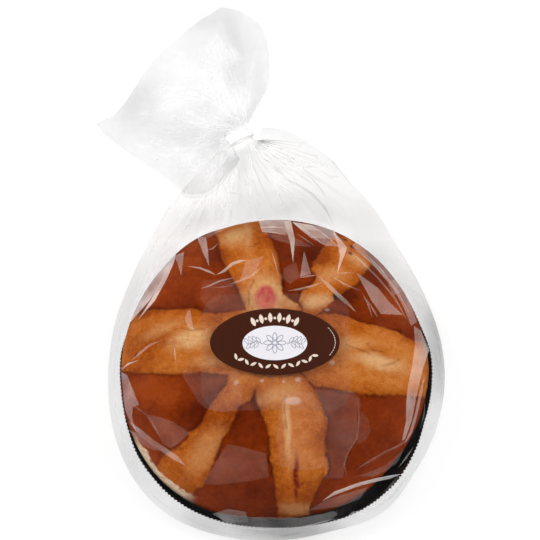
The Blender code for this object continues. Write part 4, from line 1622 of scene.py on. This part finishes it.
class Shader:
    """A short way to write the nodes of a material or of the world."""

    def __init__(self, owner):
        self.owner = owner
        owner.use_nodes = True
        self.tree = owner.node_tree
        self.tree.nodes.clear()

    def add(self, kind, inputs=None, **settings):
        """Adds a node. Its inputs are given by name or by number."""
        node = self.tree.nodes.new(kind)
        for key, value in settings.items():
            setattr(node, key, value)
        for key, value in (inputs or {}).items():
            self.feed(node.inputs[key], value)
        return node

    def feed(self, socket, value):
        if isinstance(value, bpy.types.NodeSocket):
            self.tree.links.new(value, socket)
        elif socket.type == "RGBA":
            socket.default_value = (*value, 1)
        else:
            socket.default_value = value

    def attribute(self, name):
        return self.add("ShaderNodeAttribute", attribute_name=name).outputs["Fac"]

    def place(self, stretch):
        """The place on the object, stretched along each axis."""
        place = self.add("ShaderNodeTexCoord").outputs["Object"]
        return self.add("ShaderNodeMapping", {"Vector": place, "Scale": stretch}).outputs[0]

    def noise(self, scale, detail=3.0, roughness=0.5, stretch=(1, 1, 1)):
        inputs = {"Vector": self.place(stretch), "Scale": scale, "Detail": detail, "Roughness": roughness}
        return self.add("ShaderNodeTexNoise", inputs).outputs["Fac"]

    def math(self, operation, first, second, clamp=False):
        node = self.add("ShaderNodeMath", {0: first, 1: second}, operation=operation, use_clamp=clamp)
        return node.outputs[0]

    def spread(self, value, low, high, to_low=0.0, to_high=1.0):
        inputs = {"Value": value, "From Min": low, "From Max": high, "To Min": to_low, "To Max": to_high}
        return self.add("ShaderNodeMapRange", inputs).outputs[0]

    def uneven(self, value, swing):
        """Noise turned into a shift of up to swing both ways."""
        return self.spread(value, 0.3, 0.7, -swing, swing)

    def ramp(self, value, stops):
        node = self.add("ShaderNodeValToRGB", {"Fac": value})
        elements = node.color_ramp.elements
        while len(elements) < len(stops):
            elements.new(0.5)
        for element, (place, colour) in zip(elements, stops):
            element.position = place
            element.color = (*colour, 1)
        return node.outputs["Color"]

    def mix(self, share, first, second):
        """Mixes two colours."""
        return self.add("ShaderNodeMix", {0: share, 6: first, 7: second}, data_type="RGBA").outputs[2]

    def bump(self, height, strength, distance):
        inputs = {"Height": height, "Strength": strength, "Distance": distance}
        return self.add("ShaderNodeBump", inputs).outputs["Normal"]

    def surface(self, kind, inputs):
        """The output of a surface node."""
        return self.add(kind, inputs).outputs[0]

    def layer(self, share, first, second):
        """Mixes two surfaces."""
        return self.surface("ShaderNodeMixShader", {0: share, 1: first, 2: second})

    def finish(self, surface, kind="ShaderNodeOutputMaterial"):
        self.add(kind, {"Surface": surface})
        return self.owner

    def paint(self, colour, roughness, specular, more):
        """Finishes an opaque material."""
        inputs = {"Base Color": colour, "Roughness": roughness, "Specular IOR Level": specular, **more}
        return self.finish(self.surface("ShaderNodeBsdfPrincipled", inputs))


def material_shader(name):
    return Shader(bpy.data.materials.new(name))


def film_material(name, tints, gloss, haze, wave, roughness):
    """Clear film: weak sharp reflections over what lies behind it, a milky haze that carries painted
    highlights and reflections on its folds and panes, and painted shade that darkens what lies behind it.
    """
    shader = material_shader(name)
    darker, lighter = ((tint, tint, tint) for tint in tints)
    glass = shader.ramp(shader.noise(24, 4.0, 0.6), ((0.35, darker), (0.65, lighter)))
    # Painted shade from the film's two shade attributes darkens what shows through it.
    dark = shader.math("ADD", shader.attribute("shade"), shader.attribute("soft_shade"), clamp=True)
    glass = shader.mix(dark, glass, (0.0, 0.0, 0.0))
    scratch = shader.math("MULTIPLY", shader.noise(240, 2.0, 0.6, (1, 0.25, 1)), 0.06)
    height = shader.math("ADD", shader.noise(38, 2.0), scratch)
    normal = shader.bump(height, 1.0, wave)
    clear = shader.surface("ShaderNodeBsdfTransparent", {"Color": glass})
    mirror = shader.surface("ShaderNodeBsdfGlossy", {"Roughness": roughness, "Normal": normal})
    fresnel = shader.surface("ShaderNodeFresnel", {"IOR": 1.5, "Normal": normal})
    film = shader.layer(shader.math("MINIMUM", fresnel, gloss), clear, mirror)
    plan = shader.add("ShaderNodeVectorMath", {0: shader.place((1, 1, 0))}, operation="LENGTH")
    over_loaf = shader.spread(plan.outputs["Value"], *WARM_HAZE_REACH, 1.0, 0.0)
    tint = shader.mix(over_loaf, COOL_HAZE, WARM_HAZE)
    milk = shader.surface("ShaderNodeBsdfDiffuse", {"Color": tint})
    through = shader.surface("ShaderNodeBsdfTranslucent", {"Color": tint})
    # The haze attribute carries painted highlights and reflections of the lights on folds, panes, creases
    # and tail streaks, along with the film's own milkiness.
    patchy = shader.spread(shader.noise(70), 0.3, 0.7, 0.55, 1.25)
    marked = shader.math("MULTIPLY", shader.attribute("haze"), patchy)
    amount = shader.math("ADD", marked, haze, clamp=True)
    return shader.finish(shader.layer(amount, film, shader.layer(0.3, milk, through)))


def loaf_material():
    """Baked dough: a deep brown crust, and torn strips that are golden and matt."""
    shader = material_shader("brioche_crust")
    torn = shader.attribute("torn")
    tone = shader.attribute("tone")
    mottle = shader.noise(330, 4.0, 0.65)
    speck = shader.noise(1300, 2.0, 0.6)
    broad = shader.uneven(shader.noise(70, 5.0, 0.65), 0.17)
    spots = shader.math("ADD", broad, shader.uneven(mottle, 0.16))
    crust = shader.ramp(shader.math("ADD", tone, spots, clamp=True), CRUST_COLOURS)
    crumb = shader.math("ADD", spots, shader.uneven(speck, 0.15))
    dough = shader.ramp(shader.math("ADD", tone, crumb, clamp=True), DOUGH_COLOURS)
    dough = shader.mix(shader.attribute("cream"), dough, CREAM_COLOUR)
    # Painted shade in the pores of the torn dough.
    pores = shader.spread(shader.noise(820, 2.0), 0.64, 0.72, 0.0, 0.55)
    dough = shader.mix(shader.math("MULTIPLY", pores, torn), dough, PORE_SHADE_COLOUR)

    colour = shader.mix(torn, crust, dough)
    # Painted shade in the grooves beside the strips and in the creases of the crust.
    edge = shader.math("MULTIPLY", shader.attribute("groove_shade"), 0.55)
    colour = shader.mix(edge, colour, GROOVE_SHADE_COLOUR)
    sugar = shader.ramp(shader.noise(64, 3.0, 0.6), SUGAR_COLOURS)
    colour = shader.mix(shader.attribute("pink"), colour, sugar)
    # The hole's near black is painted shade; the red, the side and the pale edge are the dough's own
    # colours.
    for mask, paint in MARK_COLOURS:
        colour = shader.mix(shader.attribute(mask), colour, paint)

    rough = shader.spread(torn, 0.0, 1.0, 0.42, 0.7)
    bumps = shader.math("ADD", shader.math("MULTIPLY", mottle, 0.5), shader.math("MULTIPLY", speck, 0.25))
    return shader.paint(colour, rough, 0.06, {"Normal": shader.bump(bumps, 0.9, 0.0008)})


def case_material():
    """Charcoal greaseproof paper with a faint fibre, and a painted highlight that makes the crests of its
    flutes paler.
    """
    shader = material_shader("charcoal_paper")
    fibre = shader.noise(700, 4.0, 0.65, (1, 1, 0.35))
    cloud = shader.noise(60)
    tone = shader.math("ADD", shader.math("MULTIPLY", fibre, 0.6), shader.math("MULTIPLY", cloud, 0.4))
    # Painted highlight on the crests of the flutes, patchy by the cloud noise.
    crest_highlight = shader.math("MULTIPLY", shader.attribute("lit_crest"), shader.spread(cloud, 0.3, 0.7, 0.1, 0.9))
    colour = shader.mix(crest_highlight, shader.ramp(tone, CASE_COLOURS), CREST_HIGHLIGHT_COLOUR)
    return shader.paint(colour, 0.46, 0.12, {"Normal": shader.bump(fibre, 0.5, 0.0003)})


def print_material(name, colour, roughness=0.5, mottle=0.12):
    """Printed paper: a flat ink with the slight mottle and sheen of coated stock."""
    shader = material_shader(name)
    darker, lighter = (tuple(min(part * (1 + shift), 1.0) for part in colour) for shift in (-mottle, mottle))
    tone = shader.ramp(shader.noise(900, 3.0, 0.6), ((0.3, darker), (0.7, lighter)))
    normal = shader.bump(shader.noise(160), 0.25, 0.0002)
    return shader.paint(tone, roughness, 0.2, {"Normal": normal})


def floor_material():
    """A pale table top that is lit a little from below."""
    shader = material_shader("pale_floor")
    tone = shader.ramp(shader.noise(3, 2.0), FLOOR_COLOURS)
    return shader.paint(tone, 0.9, 0.0, {"Emission Color": tone, "Emission Strength": FLOOR_GLOW})


# ---- The stage ----


def make_floor():
    """The pale table top, which is stage."""
    mesh = bmesh.new()
    bmesh.ops.create_grid(mesh, x_segments=1, y_segments=1, size=FLOOR_SIZE / 2)
    data = bpy.data.meshes.new("floor")
    mesh.to_mesh(data)
    mesh.free()
    data.materials.append(floor_material())
    floor = bpy.data.objects.new("floor", data)
    floor.location.z = FLOOR_LEVEL
    floor.visible_glossy = False
    bpy.context.scene.collection.objects.link(floor)


def add_light(name, place, width, height, power):
    """A soft rectangular light, which the film doesn't mirror."""
    light = bpy.data.lights.new(name, "AREA")
    light.shape = "RECTANGLE"
    light.size = width
    light.size_y = height
    light.energy = power
    panel = bpy.data.objects.new(name, light)
    panel.location = place
    panel.rotation_euler = (Vector(LIGHT_AIM) - Vector(place)).to_track_quat("-Z", "Y").to_euler()
    panel.visible_camera = False
    panel.visible_glossy = False
    bpy.context.scene.collection.objects.link(panel)


def make_world():
    """The room round the object. The camera itself sees plain white."""
    shader = Shader(bpy.data.worlds.new("studio"))
    rays = shader.add("ShaderNodeLightPath").outputs
    direction = shader.add("ShaderNodeTexCoord").outputs["Generated"]
    upright = shader.add("ShaderNodeSeparateXYZ", {0: direction}).outputs["Z"]
    room = shader.spread(upright, *WALL_TOP, WALL_RADIANCE, CEILING_RADIANCE)
    mirrored = shader.spread(rays["Is Glossy Ray"], 0.0, 1.0, 1.0, MIRRORED)
    strength = shader.math("MULTIPLY", room, mirrored)
    lit = shader.surface("ShaderNodeBackground", {"Color": (1, 1, 1), "Strength": strength})
    white = shader.surface("ShaderNodeBackground", {"Color": (1, 1, 1), "Strength": 1.0})
    surface = shader.layer(rays["Is Camera Ray"], lit, white)
    return shader.finish(surface, "ShaderNodeOutputWorld")


def make_camera():
    """The camera at the photograph's view."""
    forward, up = view_axes()
    lens = bpy.data.cameras.new("camera")
    lens.sensor_width = SENSOR_WIDTH
    lens.lens = SENSOR_WIDTH * VIEW_DISTANCE / (2 * VIEW_HALF_WIDTH)
    camera = bpy.data.objects.new("camera", lens)
    camera.location = VIEW_TARGET - forward * VIEW_DISTANCE
    camera.rotation_euler = (math.pi / 2 - VIEW_ELEVATION, 0, 0)
    bpy.context.scene.collection.objects.link(camera)
    return camera


def make_stage():
    """The pale floor, the soft lights, the world and the camera."""
    scene = bpy.context.scene
    make_floor()
    for light in LIGHTS:
        add_light(*light)
    scene.world = make_world()
    scene.camera = make_camera()
    scene.view_settings.view_transform = "Standard"
    scene.cycles.transparent_max_bounces = FILM_LAYERS_SEEN


def main():
    make_stage()
    make_loaf(loaf_material())
    make_case(case_material())
    over = film_material("clear_film", *CLEAR_FILM)
    walls = film_material("wall_film", *WALL_FILM)
    fan = film_material("fan_film", *FAN_FILM)
    make_film(over, walls, fan)
    brown = print_material("label_brown", LABEL_BROWN)
    white = print_material("label_white_ink", LABEL_WHITE, mottle=0.02)
    cream = print_material("label_cream_ink", LABEL_CREAM, mottle=0.04)
    ink = print_material("label_line_ink", LABEL_INK, mottle=0.08)
    sheet = film_material("sheet_film", *SHEET_FILM)
    make_label(sheet, brown, white, cream, ink)
    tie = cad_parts["tie"]
    tie.data.materials.clear()
    tie.data.materials.append(print_material("band_white", BAND_WHITE, 0.38, 0.02))


main()
